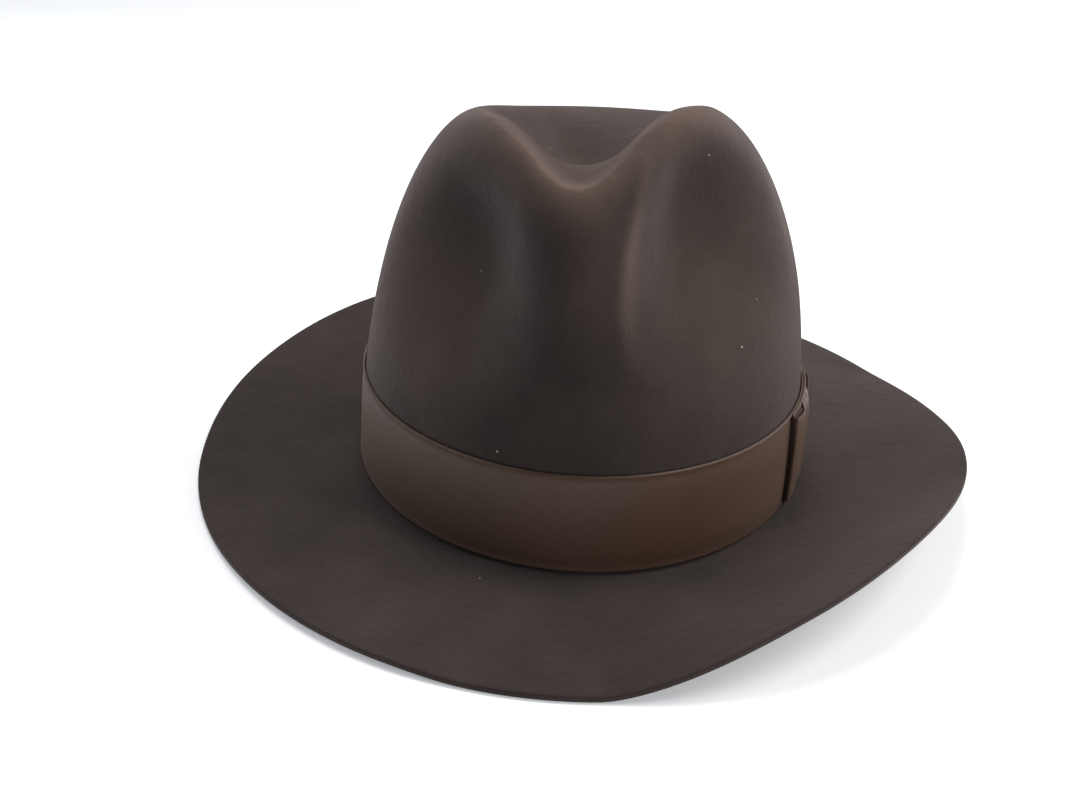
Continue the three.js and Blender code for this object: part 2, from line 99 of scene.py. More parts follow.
def eased(stations: Stations, angle: Array, spread: Array) -> Array:
    """Read stations as around() does, averaged over a spread of degrees either side.

    Args:
        stations: (degrees, value) pairs in rising order.
        angle: degrees from the front.
        spread: how many degrees to average either side.

    Returns:
        The averaged values.
    """
    offsets = np.linspace(-1, 1, EASING_SAMPLES)
    weights = bump(offsets * 0.92)
    total = sum(
        weight * around(stations, angle + offset * spread) for offset, weight in zip(offsets, weights)
    )
    return total / weights.sum()


def bump(x: Array) -> Array:
    """A bump that is 1 in the middle and falls smoothly to 0 at -1 and 1."""
    return (1 - np.clip(np.abs(x), 0, 1) ** 2) ** 2


@dataclass(frozen=True)
class Pinch:
    """One of the two front pinches, by signed degrees from the crease and share of its height."""

    ridge: float
    centre: float
    outer: float
    depth: float
    level: float
    above: float
    below: float
    crispness: float

    def push(self, crease: Array, level: Array) -> Array:
        """How far in it pushes the wall.

        Args:
            crease: degrees from the crease.
            level: share of the crest's height.

        Returns:
            The push, in metres.
        """
        side = np.sign(self.centre)
        ridge = self.ridge * side + RIDGE_SPREAD * (level - RIDGE_WAIST) ** 2
        off = crease * side
        centre, outer = abs(self.centre), abs(self.outer)
        rise = np.clip((off - ridge) / np.maximum(centre - ridge, 1), 0, 1)
        fall = np.clip((off - centre) / (outer - centre), 0, 1)
        across = np.sin(rise * np.pi / 2) ** self.crispness * np.cos(fall * np.pi / 2) ** 2
        up = level - self.level
        return self.depth * across * bump(up / np.where(up < 0, self.below, self.above))


@dataclass(frozen=True)
class HatForm:
    """The block that the felt is shaped on: the head oval, crown, crease, pinches and brim."""

    centre_x: float
    centre_y: float
    half_width: float = 0.0866
    half_length: float = 0.101
    egg: float = 0.015
    felt: float = 0.0022
    break_rise: float = 0.0046
    break_radius: float = 0.0016
    lean: float = 0.048
    crease_turn: float = 18.0
    crest_height: Stations = (
        (-135, 0.127), (-90, 0.133), (-44, 0.140), (-22, 0.136), (0, 0.126),
        (22, 0.140), (44, 0.1445), (90, 0.137), (135, 0.127), (180, 0.120),
    )
    crest_share: Stations = (
        (-135, 0.5), (-90, 0.5), (-44, 0.57), (-22, 0.645), (0, 0.76),
        (22, 0.605), (44, 0.535), (90, 0.46), (135, 0.5), (180, 0.71),
    )
    dent_floor: float = 0.110
    dent_ease: float = 75.0
    wall_power: float = 2.2
    wall_rounding: float = 0.6
    pinches: tuple[Pinch, ...] = (
        Pinch(11.5, 35.0, 76.0, depth=0.016, level=0.77, above=0.24, below=0.40, crispness=1.15),
        Pinch(1.0, -31.0, -74.0, depth=0.019, level=0.68, above=0.32, below=0.36, crispness=1.9),
    )
    brim_width: float = 0.065
    brim_longer_back: float = 0.0044
    brim_edge_height: Stations = (
        (-150, 0.010), (-120, 0.0035), (-90, -0.0032), (-60, -0.0015), (-35, -0.0012),
        (-10, -0.0032), (18, 0.0165), (40, 0.0235), (65, 0.0155), (90, 0.0035),
        (110, -0.0033), (124, -0.0033), (150, 0.013), (180, 0.011),
    )
    brim_curl: float = 1.6
    rest_ease: float = 0.0006

    @property
    def mean_radius(self) -> float:
        """The head oval's mean radius."""
        return (self.half_width + self.half_length) / 2

    @property
    def girth(self) -> float:
        """The length round the foot of the crown."""
        return 2 * math.pi * self.mean_radius

    def oval(self, angle: Array, out: Array, height: Array, share: Array = 1.0) -> Array:
        """Place points on the head oval.

        Args:
            angle: degrees from the front.
            out: distance beyond the foot of the crown.
            height: height above the break.
            share: how large the oval is, 1 at the foot of the crown.

        Returns:
            Points, with x, y and z last.
        """
        t = np.radians(angle)
        x = share * (self.half_width + out) * np.sin(t) * (1 - self.egg * np.cos(t))
        y = -share * (self.half_length + out) * np.cos(t)
        x, y, z = np.broadcast_arrays(
            x + self.lean * height + self.centre_x, y + self.centre_y, self.break_rise + height
        )
        return np.stack([x, y, z], axis=-1)

    def pinch(self, crease: Array, level: Array) -> Array:
        """How far in the front pinches push the wall, as a share of the oval."""
        return sum(pinch.push(crease, level) for pinch in self.pinches) / self.mean_radius

    def crown(self, angle: Array, travel: Array) -> Array:
        """The crown's outside: travel is 0 at its foot, 1 on the crest, 2 in the dent.

        Args:
            angle: degrees from the front.
            travel: 0 at the foot, 1 on the crest, 2 in the middle of the dent.

        Returns:
            Points, with x, y and z last.
        """
        angle, travel = np.broadcast_arrays(np.asarray(angle, float), np.asarray(travel, float))
        crease = (angle + self.crease_turn + 180) % 360 - 180
        crest = around(self.crest_height, crease)
        crest_share = around(self.crest_share, crease)
        rise = np.sin(np.clip(travel, 0, 1) * np.pi / 2)
        height = self.break_radius + (crest - self.break_radius) * rise
        level = np.minimum(height / crest, 1)
        fullness = (1 - level**self.wall_power) ** self.wall_rounding
        share = crest_share + (1 - crest_share) * fullness - self.pinch(crease, level)
        inward = np.clip(travel - 1, 0, 1)
        fall = inward**2 * (3 - 2 * inward)
        in_dent = travel > 1
        if in_dent.any():
            spread = self.dent_ease * np.minimum(inward * 1.4, 1)
            rim = eased(self.crest_height, crease, spread)
            share = np.where(in_dent, eased(self.crest_share, crease, spread) * (1 - inward), share)
            height = np.where(in_dent, rim + (self.dent_floor - rim) * fall, height)
        return self.oval(angle, 0.0, height, share)

    def travel_at(self, angle: Array, height: Array) -> Array:
        """The travel up the wall that reaches a height above the break.

        Args:
            angle: degrees from the front.
            height: height above the break.

        Returns:
            The travel at each angle.
        """
        crest = around(self.crest_height, np.asarray(angle, float) + self.crease_turn)
        rise = (height - self.break_radius) / (crest - self.break_radius)
        return np.arcsin(np.clip(rise, 0, 1)) * 2 / np.pi

    def wall(self, angle: Array, height: Array, out: Array = 0.0) -> Array:
        """Points beside the crown's wall.

        Args:
            angle: degrees from the front.
            height: height above the break.
            out: distance outwards from the felt's outside.

        Returns:
            Points, with x, y and z last.
        """
        angle, height, out = np.broadcast_arrays(
            *(np.asarray(value, float) for value in (angle, height, out))
        )
        travel = self.travel_at(angle, np.maximum(height, self.break_radius))
        point = self.crown(angle, travel)
        ahead = self.crown(angle + 1, travel) - self.crown(angle - 1, travel)
        across = np.stack([ahead[..., 1], -ahead[..., 0], np.zeros(angle.shape)], axis=-1)
        across /= np.linalg.norm(across, axis=-1, keepdims=True)
        point = point + across * out[..., None]
        point[..., 2] = self.break_rise + height
        return point

    def brim(self, angle: Array, reach: Array) -> Array:
        """The brim's top: reach is 0 at the crown and 1 at the edge.

        Args:
            angle: degrees from the front.
            reach: 0 at the crown and 1 at the edge.

        Returns:
            Points, with x, y and z last.
        """
        angle, reach = np.broadcast_arrays(np.asarray(angle, float), np.asarray(reach, float))
        width = self.brim_width - self.brim_longer_back * np.cos(np.radians(angle))
        out = self.break_radius + (width - self.break_radius) * reach
        point = self.oval(angle, out, np.zeros(angle.shape))
        lift = around(self.brim_edge_height, angle) * reach**self.brim_curl
        clear = self.break_rise + lift - self.felt
        point[..., 2] = self.felt + (clear + np.hypot(clear, self.rest_ease)) / 2
        return point


def turn_angles(columns: int) -> Array:
    """Angles round the hat, one for each column."""
    return np.arange(columns) * 360.0 / columns


def soften(rows: Array, passes: int, fixed: int = 1) -> Array:
    """Round a surface over along its rows, as damp felt rounds over a block.

    Args:
        rows: points as (row, column, xyz).
        passes: how many times each row moves towards its neighbours.
        fixed: how many rows stay put at each end.

    Returns:
        The softened rows.
    """
    rows = rows.copy()
    for _ in range(passes):
        middle = (rows[:-2] + 2 * rows[1:-1] + rows[2:]) / 4
        rows[fixed:-fixed] = middle[fixed - 1 : len(middle) - fixed + 1]
    return rows


def normals(rows: Array) -> Array:
    """Unit normals of rows that run from the middle of the crown outwards, facing out.

    Args:
        rows: points as (row, column, xyz).

    Returns:
        The normals, shaped as the rows.
    """
    along = np.roll(rows, -1, axis=1) - np.roll(rows, 1, axis=1)
    down = np.gradient(rows, axis=0)
    normal = np.cross(down, along)
    length = np.linalg.norm(normal, axis=-1, keepdims=True)
    normal = normal / np.maximum(length, 1e-12)
    normal[0] = (0, 0, 1)
    return normal


# ---- Benchwork ---------------------------------------------------------------------------


def deselect() -> None:
    """Leave edit mode and select nothing."""
    if bpy.context.object is not None and bpy.context.object.mode != "OBJECT":
        bpy.ops.object.mode_set(mode="OBJECT")
    bpy.ops.object.select_all(action="DESELECT")


def pick(piece: bpy.types.Object) -> None:
    """Make a piece the only selected one, and the active one.

    Args:
        piece: the piece to work on.
    """
    deselect()
    piece.select_set(True)
    bpy.context.view_layer.objects.active = piece


def settle_normals(piece: bpy.types.Object, merge: float = 1e-6) -> None:
    """Merge doubled points and turn every face outwards.

    Args:
        piece: the piece to work on.
        merge: points closer than this are joined.
    """
    pick(piece)
    bpy.ops.object.mode_set(mode="EDIT")
    bpy.ops.mesh.select_all(action="SELECT")
    bpy.ops.mesh.remove_doubles(threshold=merge)
    bpy.ops.mesh.dissolve_degenerate(threshold=merge)
    bpy.ops.mesh.normals_make_consistent(inside=False)
    bpy.ops.object.mode_set(mode="OBJECT")


def smooth(piece: bpy.types.Object, angle: float = 40.0) -> None:
    """Shade a piece smooth, with edges sharper than an angle in degrees kept."""
    pick(piece)
    bpy.ops.object.shade_smooth_by_angle(angle=math.radians(angle))


def apply_modifier(piece: bpy.types.Object, kind: str, **settings: object) -> None:
    """Add a modifier, set it and apply it at once.

    Args:
        piece: the piece to work on.
        kind: the modifier's type.
        settings: its properties, by name.
    """
    pick(piece)
    modifier = piece.modifiers.new(kind.title(), kind)
    for name, value in settings.items():
        setattr(modifier, name, value)
    bpy.ops.object.modifier_apply(modifier=modifier.name)


def draped_grid(name: str, rows: Array, closed: bool, metres: tuple[float, float]) -> bpy.types.Object:
    """Wrap a grid primitive over rows of points.

    Args:
        name: the new piece's name.
        rows: points as (row, column, xyz).
        closed: whether the last column joins the first.
        metres: the grid's real length along its columns and its rows, for its UV map.

    Returns:
        The new piece.
    """
    if closed:
        rows = np.concatenate([rows, rows[:, :1]], axis=1)
    count_rows, count_columns = rows.shape[:2]
    deselect()
    bpy.ops.mesh.primitive_grid_add(
        x_subdivisions=count_columns - 1, y_subdivisions=count_rows - 1, size=1, calc_uvs=True
    )
    piece = bpy.context.object
    piece.name = piece.data.name = name
    mesh = piece.data
    mesh.vertices.foreach_set("co", rows.reshape(-1).astype(np.float32))
    spread = np.zeros(len(mesh.loops) * 2, np.float32)
    mesh.uv_layers[0].data.foreach_get("uv", spread)
    spread = spread.reshape(-1, 2) * np.array(metres, np.float32)
    mesh.uv_layers[0].data.foreach_set("uv", spread.reshape(-1))
    mesh.update()
    settle_normals(piece)
    return piece


def hoop(name: str, form: HatForm, outline: Array, columns: int = 240) -> bpy.types.Object:
    """Sweep a closed outline of (height, out) points round the crown's wall.

    Args:
        name: the new piece's name.
        form: the hat's form.
        outline: a closed outline of (height, out) points.
        columns: how many sections round the hat.

    Returns:
        The new piece.
    """
    angles = turn_angles(columns)
    closed = np.concatenate([outline, outline[:1]])
    rows = np.stack([form.wall(angles, height, out) for height, out in closed])
    length = float(np.linalg.norm(np.diff(closed, axis=0), axis=1).sum())
    return draped_grid(name, rows, True, (form.girth, length))


def round_outline(height: float, out: float, radius: float, sides: int = 10) -> Array:
    """A round cord's outline as (height, out) points."""
    t = np.arange(sides) * 2 * np.pi / sides
    return np.stack([height + radius * np.sin(t), out + radius * np.cos(t)], axis=1)


def strip_outline(bottom: float, top: float, near: float, far: float, bead: float, steps: int) -> Array:
    """A woven strip's outline, with a small rounded bead of selvedge along both edges.

    Args:
        bottom: height of the lower edge.
        top: height of the upper edge.
        near: the back face's distance out.
        far: the front face's distance out.
        bead: how far the selvedge stands proud of the front face.
        steps: points up each face.

    Returns:
        (height, out) points, in order.
    """
    heights = np.linspace(bottom + 0.0004, top - 0.0004, steps)
    from_edge = np.minimum(heights - bottom, top - heights)
    lip = bead * (bump((from_edge - 0.0007) / 0.0008) - 0.45 * bump((from_edge - 0.0021) / 0.0007))
    front = np.stack([heights, far + lip], axis=1)
    back = np.stack([heights[::-1], np.full(steps, near)], axis=1)
    upper = np.array([[top - 0.0001, far - 0.0001], [top, (near + far) / 2], [top - 0.0001, near + 0.0001]])
    lower = np.array([
        [bottom + 0.0001, near + 0.0001], [bottom, (near + far) / 2], [bottom + 0.0001, far - 0.0001]
    ])
    return np.concatenate([front, upper, back, lower])


# ---- Finishes ----------------------------------------------------------------------------


class Weave:
    """A small hand for wiring one material's nodes."""

    def __init__(self, name: str) -> None:
        """Start a node material with an empty surface.

        Args:
            name: the material's name.
        """
        self.material = bpy.data.materials.new(name)
        self.material.use_nodes = True
        self.nodes = self.material.node_tree.nodes
        self.links = self.material.node_tree.links
        self.surface = self.nodes["Principled BSDF"]
        self.place = self.add("ShaderNodeTexCoord")

    def add(self, kind: str, **settings: object) -> bpy.types.Node:
        """Add a node and set its plain properties.

        Args:
            kind: the node's type.
            settings: its properties, by name.

        Returns:
            The node.
        """
        node = self.nodes.new(kind)
        for name, value in settings.items():
            setattr(node, name, value)
        return node

    def join(self, source: bpy.types.NodeSocket, target: bpy.types.NodeSocket) -> None:
        """Link two sockets."""
        self.links.new(source, target)

    def set(self, **values: object) -> None:
        """Set constants on the surface's own sockets, with underscores for spaces."""
        for name, value in values.items():
            self.surface.inputs[name.replace("_", " ")].default_value = value

    def noise(self, scale: float, detail: float = 2.0, roughness: float = 0.5,
              stretch: tuple[float, float, float] = (1, 1, 1), uv: bool = False) -> bpy.types.NodeSocket:
        """A noise pattern's factor, in Object or UV metres, stretched on its own axes.

        Args:
            scale: how many features to the metre.
            detail: how many finer layers.
            roughness: how strong the finer layers are.
            stretch: scale along each axis.
            uv: whether it follows the UV map.

        Returns:
            The pattern's socket.
        """
        mapping = self.add("ShaderNodeMapping")
        mapping.inputs["Scale"].default_value = stretch
        self.join(self.place.outputs["UV" if uv else "Object"], mapping.inputs["Vector"])
        node = self.add("ShaderNodeTexNoise")
        node.inputs["Scale"].default_value = scale
        node.inputs["Detail"].default_value = detail
        node.inputs["Roughness"].default_value = roughness
        self.join(mapping.outputs["Vector"], node.inputs["Vector"])
        return node.outputs["Fac"]

    def ribs(self, pitch: float, across: str = "X") -> bpy.types.NodeSocket:
        """Fine woven ribs, one for each pitch along the UV map's X or Y.

        Args:
            pitch: distance between neighbours.
            across: the axis that they repeat along.

        Returns:
            The pattern's socket.
        """
        node = self.add("ShaderNodeTexWave", wave_type="BANDS", bands_direction=across)
        node.inputs["Scale"].default_value = 2 * math.pi / 20 / pitch
        self.join(self.place.outputs["UV"], node.inputs["Vector"])
        return node.outputs["Fac"]

    def span(self, value: bpy.types.NodeSocket, low: float, high: float,
             to_low: float = 0.0, to_high: float = 1.0) -> bpy.types.NodeSocket:
        """Stretch a value from one range to another, clamped.

        Args:
            value: the value to stretch.
            low: the input that gives to_low.
            high: the input that gives to_high.
            to_low: the lowest result.
            to_high: the highest result.

        Returns:
            The result's socket.
        """
        node = self.add("ShaderNodeMapRange")
        for name, number in (("From Min", low), ("From Max", high), ("To Min", to_low), ("To Max", to_high)):
            node.inputs[name].default_value = number
        self.join(value, node.inputs["Value"])
        return node.outputs["Result"]

    def maths(self, operation: str, first: object, second: object) -> bpy.types.NodeSocket:
        """Combine two values or sockets.

        Args:
            operation: the sum to do.
            first: a colour or number, or a socket that gives one.
            second: the other one, in the same way.

        Returns:
            The result's socket.
        """
        node = self.add("ShaderNodeMath", operation=operation)
        for k, value in enumerate((first, second)):
            if isinstance(value, bpy.types.NodeSocket):
                self.join(value, node.inputs[k])
            else:
                node.inputs[k].default_value = value
        return node.outputs["Value"]

    def blend(self, factor: bpy.types.NodeSocket, first: object, second: object) -> bpy.types.NodeSocket:
        """Mix two colours or colour sockets by a factor.

        Args:
            factor: 0 for the first, 1 for the second.
            first: a colour or number, or a socket that gives one.
            second: the other one, in the same way.

        Returns:
            The mixed colour's socket.
        """
        node = self.add("ShaderNodeMix", data_type="RGBA")
        self.join(factor, node.inputs["Factor"])
        for name, value in (("A", first), ("B", second)):
            socket = next(s for s in node.inputs if s.name == name and s.type == "RGBA")
            if isinstance(value, bpy.types.NodeSocket):
                self.join(value, socket)
            else:
                socket.default_value = (*value, 1)
        return next(s for s in node.outputs if s.type == "RGBA")

    def raise_by(self, height: bpy.types.NodeSocket, distance: float, strength: float = 1.0,
                 under: bpy.types.NodeSocket | None = None) -> bpy.types.NodeSocket:
        """Turn a height pattern into a bump, on top of another bump if one is given.

        Args:
            height: the height pattern.
            distance: height of the bump.
            strength: how much of it shows.
            under: a bump that it lies on.

        Returns:
            The bump's normal socket.
        """
        node = self.add("ShaderNodeBump")
        node.inputs["Distance"].default_value = distance
        node.inputs["Strength"].default_value = strength
        self.join(height, node.inputs["Height"])
        if under is not None:
            self.join(under, node.inputs["Normal"])
        return node.outputs["Normal"]


Colour = tuple[float, float, float]


def shade(red: int, green: int, blue: int) -> Colour:
    """A screen colour of 0 to 255 as linear light.

    Args:
        red: red, 0 to 255.
        green: green, 0 to 255.
        blue: blue, 0 to 255.

    Returns:
        The colour, each channel from 0 to 1.
    """

    def linear(value: int) -> float:
        """One channel as linear light."""
        v = value / 255
        return v / 12.92 if v <= 0.04045 else ((v + 0.055) / 1.055) ** 2.4

    return (linear(red), linear(green), linear(blue))


@dataclass(frozen=True)
class FeltFinish:
    """Brushed fur felt: a mottled dark brown with a short nap, a little lint and a painted highlight on the
    crown's lit folds and hollows.
    """

    dark: Colour = shade(47, 41, 40)
    light: Colour = shade(62, 54, 51)
    # lighter felt colour used as a painted highlight on the crown's lit folds, ridge and patches
    highlight_colour: Colour = shade(94, 79, 71)
    lint: Colour = shade(170, 165, 160)
    nap: float = 0.0004

    def build(self) -> bpy.types.Material:
        """Wire the felt.

        Returns:
            The material.
        """
        w = Weave("felt")
        mottle = w.span(w.noise(28, 5, 0.6), 0.35, 0.68)
        fibre = w.noise(1500, 4, 0.7)
        colour = w.blend(mottle, self.dark, self.light)
        colour = w.blend(w.span(fibre, 0.35, 0.75, 0, 0.55), colour, self.light)
        fleck = w.add("ShaderNodeTexVoronoi", feature="F1")
        fleck.inputs["Scale"].default_value = 120
        w.join(w.place.outputs["Object"], fleck.inputs["Vector"])
        near = w.span(fleck.outputs["Distance"], 0.035, 0.055, 1, 0)
        chosen = w.add("ShaderNodeSeparateColor")
        w.join(fleck.outputs["Color"], chosen.inputs["Color"])
        few = w.maths("GREATER_THAN", chosen.outputs["Red"], 0.86)
        colour = w.blend(w.maths("MULTIPLY", near, few), colour, self.lint)
        # painted highlight: blend towards the lighter colour where the mesh attribute marks lit folds, ridge
        # and patches
        painted_highlight = w.add("ShaderNodeAttribute", attribute_name=PAINTED_HIGHLIGHT)
        patchy = w.maths("MULTIPLY", painted_highlight.outputs["Fac"], w.span(w.noise(60, 4, 0.6), 0.25, 0.6, 0.55, 1))
        colour = w.blend(patchy, colour, self.highlight_colour)
        w.join(colour, w.surface.inputs["Base Color"])
        w.join(w.span(fibre, 0.3, 0.7, 0.88, 1.0), w.surface.inputs["Roughness"])
        soft = w.raise_by(w.noise(230, 3, 0.5), 0.0005, 0.5)
        w.join(w.raise_by(fibre, self.nap, 0.6, soft), w.surface.inputs["Normal"])
        w.set(Sheen_Weight=0.55, Sheen_Roughness=0.4, Sheen_Tint=(0.46, 0.4, 0.4, 1))
        w.set(Specular_IOR_Level=0.1)
        return w.material


@dataclass(frozen=True)
class RibbonFinish:
    """Grosgrain: fine upright ribs with a soft gloss, brighter along the selvedge."""

    dark: Colour = shade(58, 41, 31)
    light: Colour = shade(90, 66, 51)
    rib_pitch: float = 0.0005
    rib_height: float = 0.00005

    def build(self) -> bpy.types.Material:
        """Wire the ribbon.

        Returns:
            The material.
        """
        w = Weave("grosgrain")
        ribs = w.ribs(self.rib_pitch)
        slub = w.noise(60, 3, 0.5, (1, 12, 1), uv=True)
        w.join(w.blend(w.span(ribs, 0, 1, 0.2, 0.8), self.dark, self.light), w.surface.inputs["Base Color"])
        w.join(w.span(slub, 0.3, 0.7, 0.38, 0.5), w.surface.inputs["Roughness"])
        thread = w.raise_by(w.noise(2600, 2, 0.5, uv=True), 0.00005, 0.4)
        w.join(w.raise_by(ribs, self.rib_height, 0.8, thread), w.surface.inputs["Normal"])
        w.set(Sheen_Weight=0.25, Sheen_Roughness=0.4, Sheen_Tint=(0.7, 0.62, 0.55, 1))
        w.set(Specular_IOR_Level=0.4)
        return w.material


@dataclass(frozen=True)
class LeatherFinish:
    """Sweatband leather: fine pores and creases under a dull polish."""

    dark: Colour = shade(60, 38, 26)
    light: Colour = shade(96, 64, 44)

    def build(self) -> bpy.types.Material:
        """Wire the leather.

        Returns:
            The material.
        """
        w = Weave("leather")
        wear = w.span(w.noise(45, 4, 0.6), 0.3, 0.7)
        w.join(w.blend(wear, self.dark, self.light), w.surface.inputs["Base Color"])
        w.join(w.span(wear, 0, 1, 0.42, 0.6), w.surface.inputs["Roughness"])
        grain = w.add("ShaderNodeTexVoronoi", feature="DISTANCE_TO_EDGE")
        grain.inputs["Scale"].default_value = 900
        w.join(w.place.outputs["Object"], grain.inputs["Vector"])
        creases = w.raise_by(w.noise(160, 3, 0.6, (1, 1, 0.35)), 0.0003, 0.5)
        pores = w.raise_by(w.span(grain.outputs["Distance"], 0, 0.25), 0.00008, 0.7, creases)
        w.join(pores, w.surface.inputs["Normal"])
        w.set(Specular_IOR_Level=0.4)
        return w.material


@dataclass(frozen=True)
class ClothFinish:
    """A plain woven cloth: satin, tape, thread or label paper, by its numbers."""

    name: str
    dark: Colour
    light: Colour
    rough: float
    pitch: float
    height: float
    sheen: float = 0.2
    gloss: float = 0.5
    anisotropy: float = 0.0

    def build(self) -> bpy.types.Material:
        """Wire the cloth.

        Returns:
            The material.
        """
        w = Weave(self.name)
        warp, weft = w.ribs(self.pitch), w.ribs(self.pitch * 1.7, "Y")
        weave = w.maths("MULTIPLY", warp, weft)
        cast = w.span(w.noise(35, 3, 0.5), 0.3, 0.7, 0, 0.6)
        shaded = w.maths("ADD", cast, w.maths("MULTIPLY", weave, 0.4))
        w.join(w.blend(shaded, self.dark, self.light), w.surface.inputs["Base Color"])
        polish = w.span(cast, 0, 0.6, self.rough * 0.85, min(self.rough * 1.15, 1))
        w.join(polish, w.surface.inputs["Roughness"])
        crumple = w.raise_by(w.noise(120, 3, 0.5), 0.0004, 0.35)
        w.join(w.raise_by(weave, self.height, 0.7, crumple), w.surface.inputs["Normal"])
        w.set(Sheen_Weight=self.sheen, Specular_IOR_Level=self.gloss, Anisotropic=self.anisotropy)
        return w.material


@dataclass(frozen=True)
class FilmFinish:
    """The clear soft film over the crown's lining, faintly rippled."""

    tint: Colour = shade(225, 225, 220)

    def build(self) -> bpy.types.Material:
        """Wire the film.

        Returns:
            The material.
        """
        w = Weave("film")
        ripple = w.noise(70, 3, 0.5)
        cast = w.blend(w.span(ripple, 0.3, 0.7), self.tint, shade(240, 240, 238))
        w.join(cast, w.surface.inputs["Base Color"])
        w.join(w.span(ripple, 0.3, 0.7, 0.06, 0.16), w.surface.inputs["Roughness"])
        w.join(w.raise_by(ripple, 0.0006, 0.5), w.surface.inputs["Normal"])
        w.set(Transmission_Weight=0.9, IOR=1.45, Specular_IOR_Level=0.5)
        return w.material


@dataclass(frozen=True)
class FloorFinish:
    """A matt, pale tabletop."""

    colour: Colour = shade(240, 242, 244)

    def build(self) -> bpy.types.Material:
        """Wire the floor.

        Returns:
            The material.
        """
        w = Weave("floor")
        tone = w.span(w.noise(6, 2, 0.5), 0.3, 0.7, 0, 1)
        w.join(w.blend(tone, self.colour, shade(243, 244, 246)), w.surface.inputs["Base Color"])
        w.set(Roughness=0.7, Specular_IOR_Level=0.15)
        w.set(Emission_Color=(0.93, 0.96, 1, 1), Emission_Strength=0.3)
        return w.material


class Slot(Enum):
    """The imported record's material slots, each with the finish that dresses it."""

    FELT = "felt"
    RIBBON = "grosgrain"
    THREAD = "thread"
    LEATHER = "leather"
    REED = "reed"
    TAPE = "tape"
    SATIN = "satin"
    PIPING = "piping"
    FILM = "film"
    LABEL = "label"


FINISHES = {
    Slot.FELT: FeltFinish(),
    Slot.RIBBON: RibbonFinish(),
    Slot.THREAD: ClothFinish("thread", shade(48, 36, 28), shade(84, 64, 50), 0.55, 0.0004, 0.00008),
    Slot.LEATHER: LeatherFinish(),
    Slot.REED: ClothFinish("reed", shade(196, 186, 160), shade(222, 214, 192), 0.45, 0.002, 0.00005),
    Slot.TAPE: ClothFinish("tape", shade(20, 18, 18), shade(40, 37, 36), 0.7, 0.0007, 0.0001),
    Slot.SATIN: ClothFinish(
        "satin", shade(58, 38, 26), shade(98, 68, 48), 0.34, 0.0004, 0.00003, 0.15, 0.6, 0.4
    ),
    Slot.PIPING: ClothFinish("piping", shade(64, 44, 32), shade(100, 72, 54), 0.4, 0.0006, 0.00008),
    Slot.FILM: FilmFinish(),
    Slot.LABEL: ClothFinish("label", shade(205, 198, 180), shade(228, 222, 208), 0.6, 0.0005, 0.00004),
}


class Dresser:
    """Hands finished pieces over to the frame, each with its finish."""

    def __init__(self) -> None:
        """Build each slot's finish once."""
        self.materials = {slot: finish.build() for slot, finish in FINISHES.items()}

    def dress(self, piece: bpy.types.Object, slot: Slot, *nodes: str, angle: float = 40.0) -> None:
        """Give a piece its finish, body and place in the model.

        Args:
            piece: the finished mesh, at the origin.
            slot: the record's material slot.
            nodes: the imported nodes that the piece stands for.
            angle: edges sharper than this many degrees stay sharp.
        """
        smooth(piece, angle)
        piece.data.materials.clear()
        piece.data.materials.append(self.materials[slot])
        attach(piece, "root")
        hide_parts(*nodes)
        log.info("%s: %d faces, for %s", piece.name, len(piece.data.polygons), ", ".join(nodes))


# ---- Stitches and bent strips ------------------------------------------------------------


def stitches(name: str, places: Array, along: Array, outward: Array, length: float,
             radius: float) -> bpy.types.Object:
    """Lay a row of short thread stitches.

    Args:
        name: the new piece's name.
        places: each stitch's middle.
        along: each stitch's direction.
        outward: each stitch's outward normal.
        length: a stitch's length.
        radius: the thread's radius.

    Returns:
        All the stitches, joined.
    """
    deselect()
    bpy.ops.mesh.primitive_uv_sphere_add(segments=8, ring_count=6, radius=1)
    stitch = bpy.context.object
    bpy.ops.object.mode_set(mode="EDIT")
    bpy.ops.mesh.select_all(action="SELECT")
    bpy.ops.transform.resize(value=(radius, radius, length / 2))
    bpy.ops.object.mode_set(mode="OBJECT")
    along = along / np.linalg.norm(along, axis=1, keepdims=True)
    side = np.cross(outward, along)
    side /= np.linalg.norm(side, axis=1, keepdims=True)
    facing = np.cross(along, side)
    copies = []
    for k in range(len(places)):
        copy = stitch.copy()
        copy.data = stitch.data.copy()
        placing = np.eye(4)
        placing[:3, 0], placing[:3, 1], placing[:3, 2] = side[k], facing[k], along[k]
        placing[:3, 3] = places[k]
        copy.data.transform(Matrix(placing.tolist()))
        bpy.context.collection.objects.link(copy)
        copies.append(copy)
    bpy.data.objects.remove(stitch)
    deselect()
    for copy in copies:
        copy.select_set(True)
    bpy.context.view_layer.objects.active = copies[0]
    if len(copies) > 1:
        bpy.ops.object.join()
    piece = bpy.context.object
    piece.name = piece.data.name = name
    return piece


def stitch_ring(name: str, form: HatForm, height: float, out: float, pitch: float,
                length: float, radius: float) -> bpy.types.Object:
    """Lay a ring of stitches round the wall at one height and distance out.

    Args:
        name: the new piece's name.
        form: the hat's form.
        height: height above the break.
        out: distance outwards from the felt.
        pitch: distance between neighbours.
        length: a stitch's length.
        radius: the thread's radius.

    Returns:
        All the stitches, joined.
    """
    count = int(form.girth / pitch)
    angles = turn_angles(count)
    middle = form.wall(angles, height, out)
    along = form.wall(angles + 0.5, height, out) - form.wall(angles - 0.5, height, out)
    return stitches(name, middle, along, form.wall(angles, height, out + MM) - middle, length, radius)


def close_ends(piece: bpy.types.Object) -> None:
    """Fill a tube's open ends and turn its faces outwards.

    Args:
        piece: the piece to work on.
    """
    pick(piece)
    bpy.ops.object.mode_set(mode="EDIT")
    bpy.ops.mesh.select_all(action="DESELECT")
    bpy.ops.mesh.select_mode(type="EDGE")
    bpy.ops.mesh.select_non_manifold()
    bpy.ops.mesh.edge_face_add()
    bpy.ops.mesh.select_all(action="SELECT")
    bpy.ops.mesh.normals_make_consistent(inside=False)
    bpy.ops.object.mode_set(mode="OBJECT")


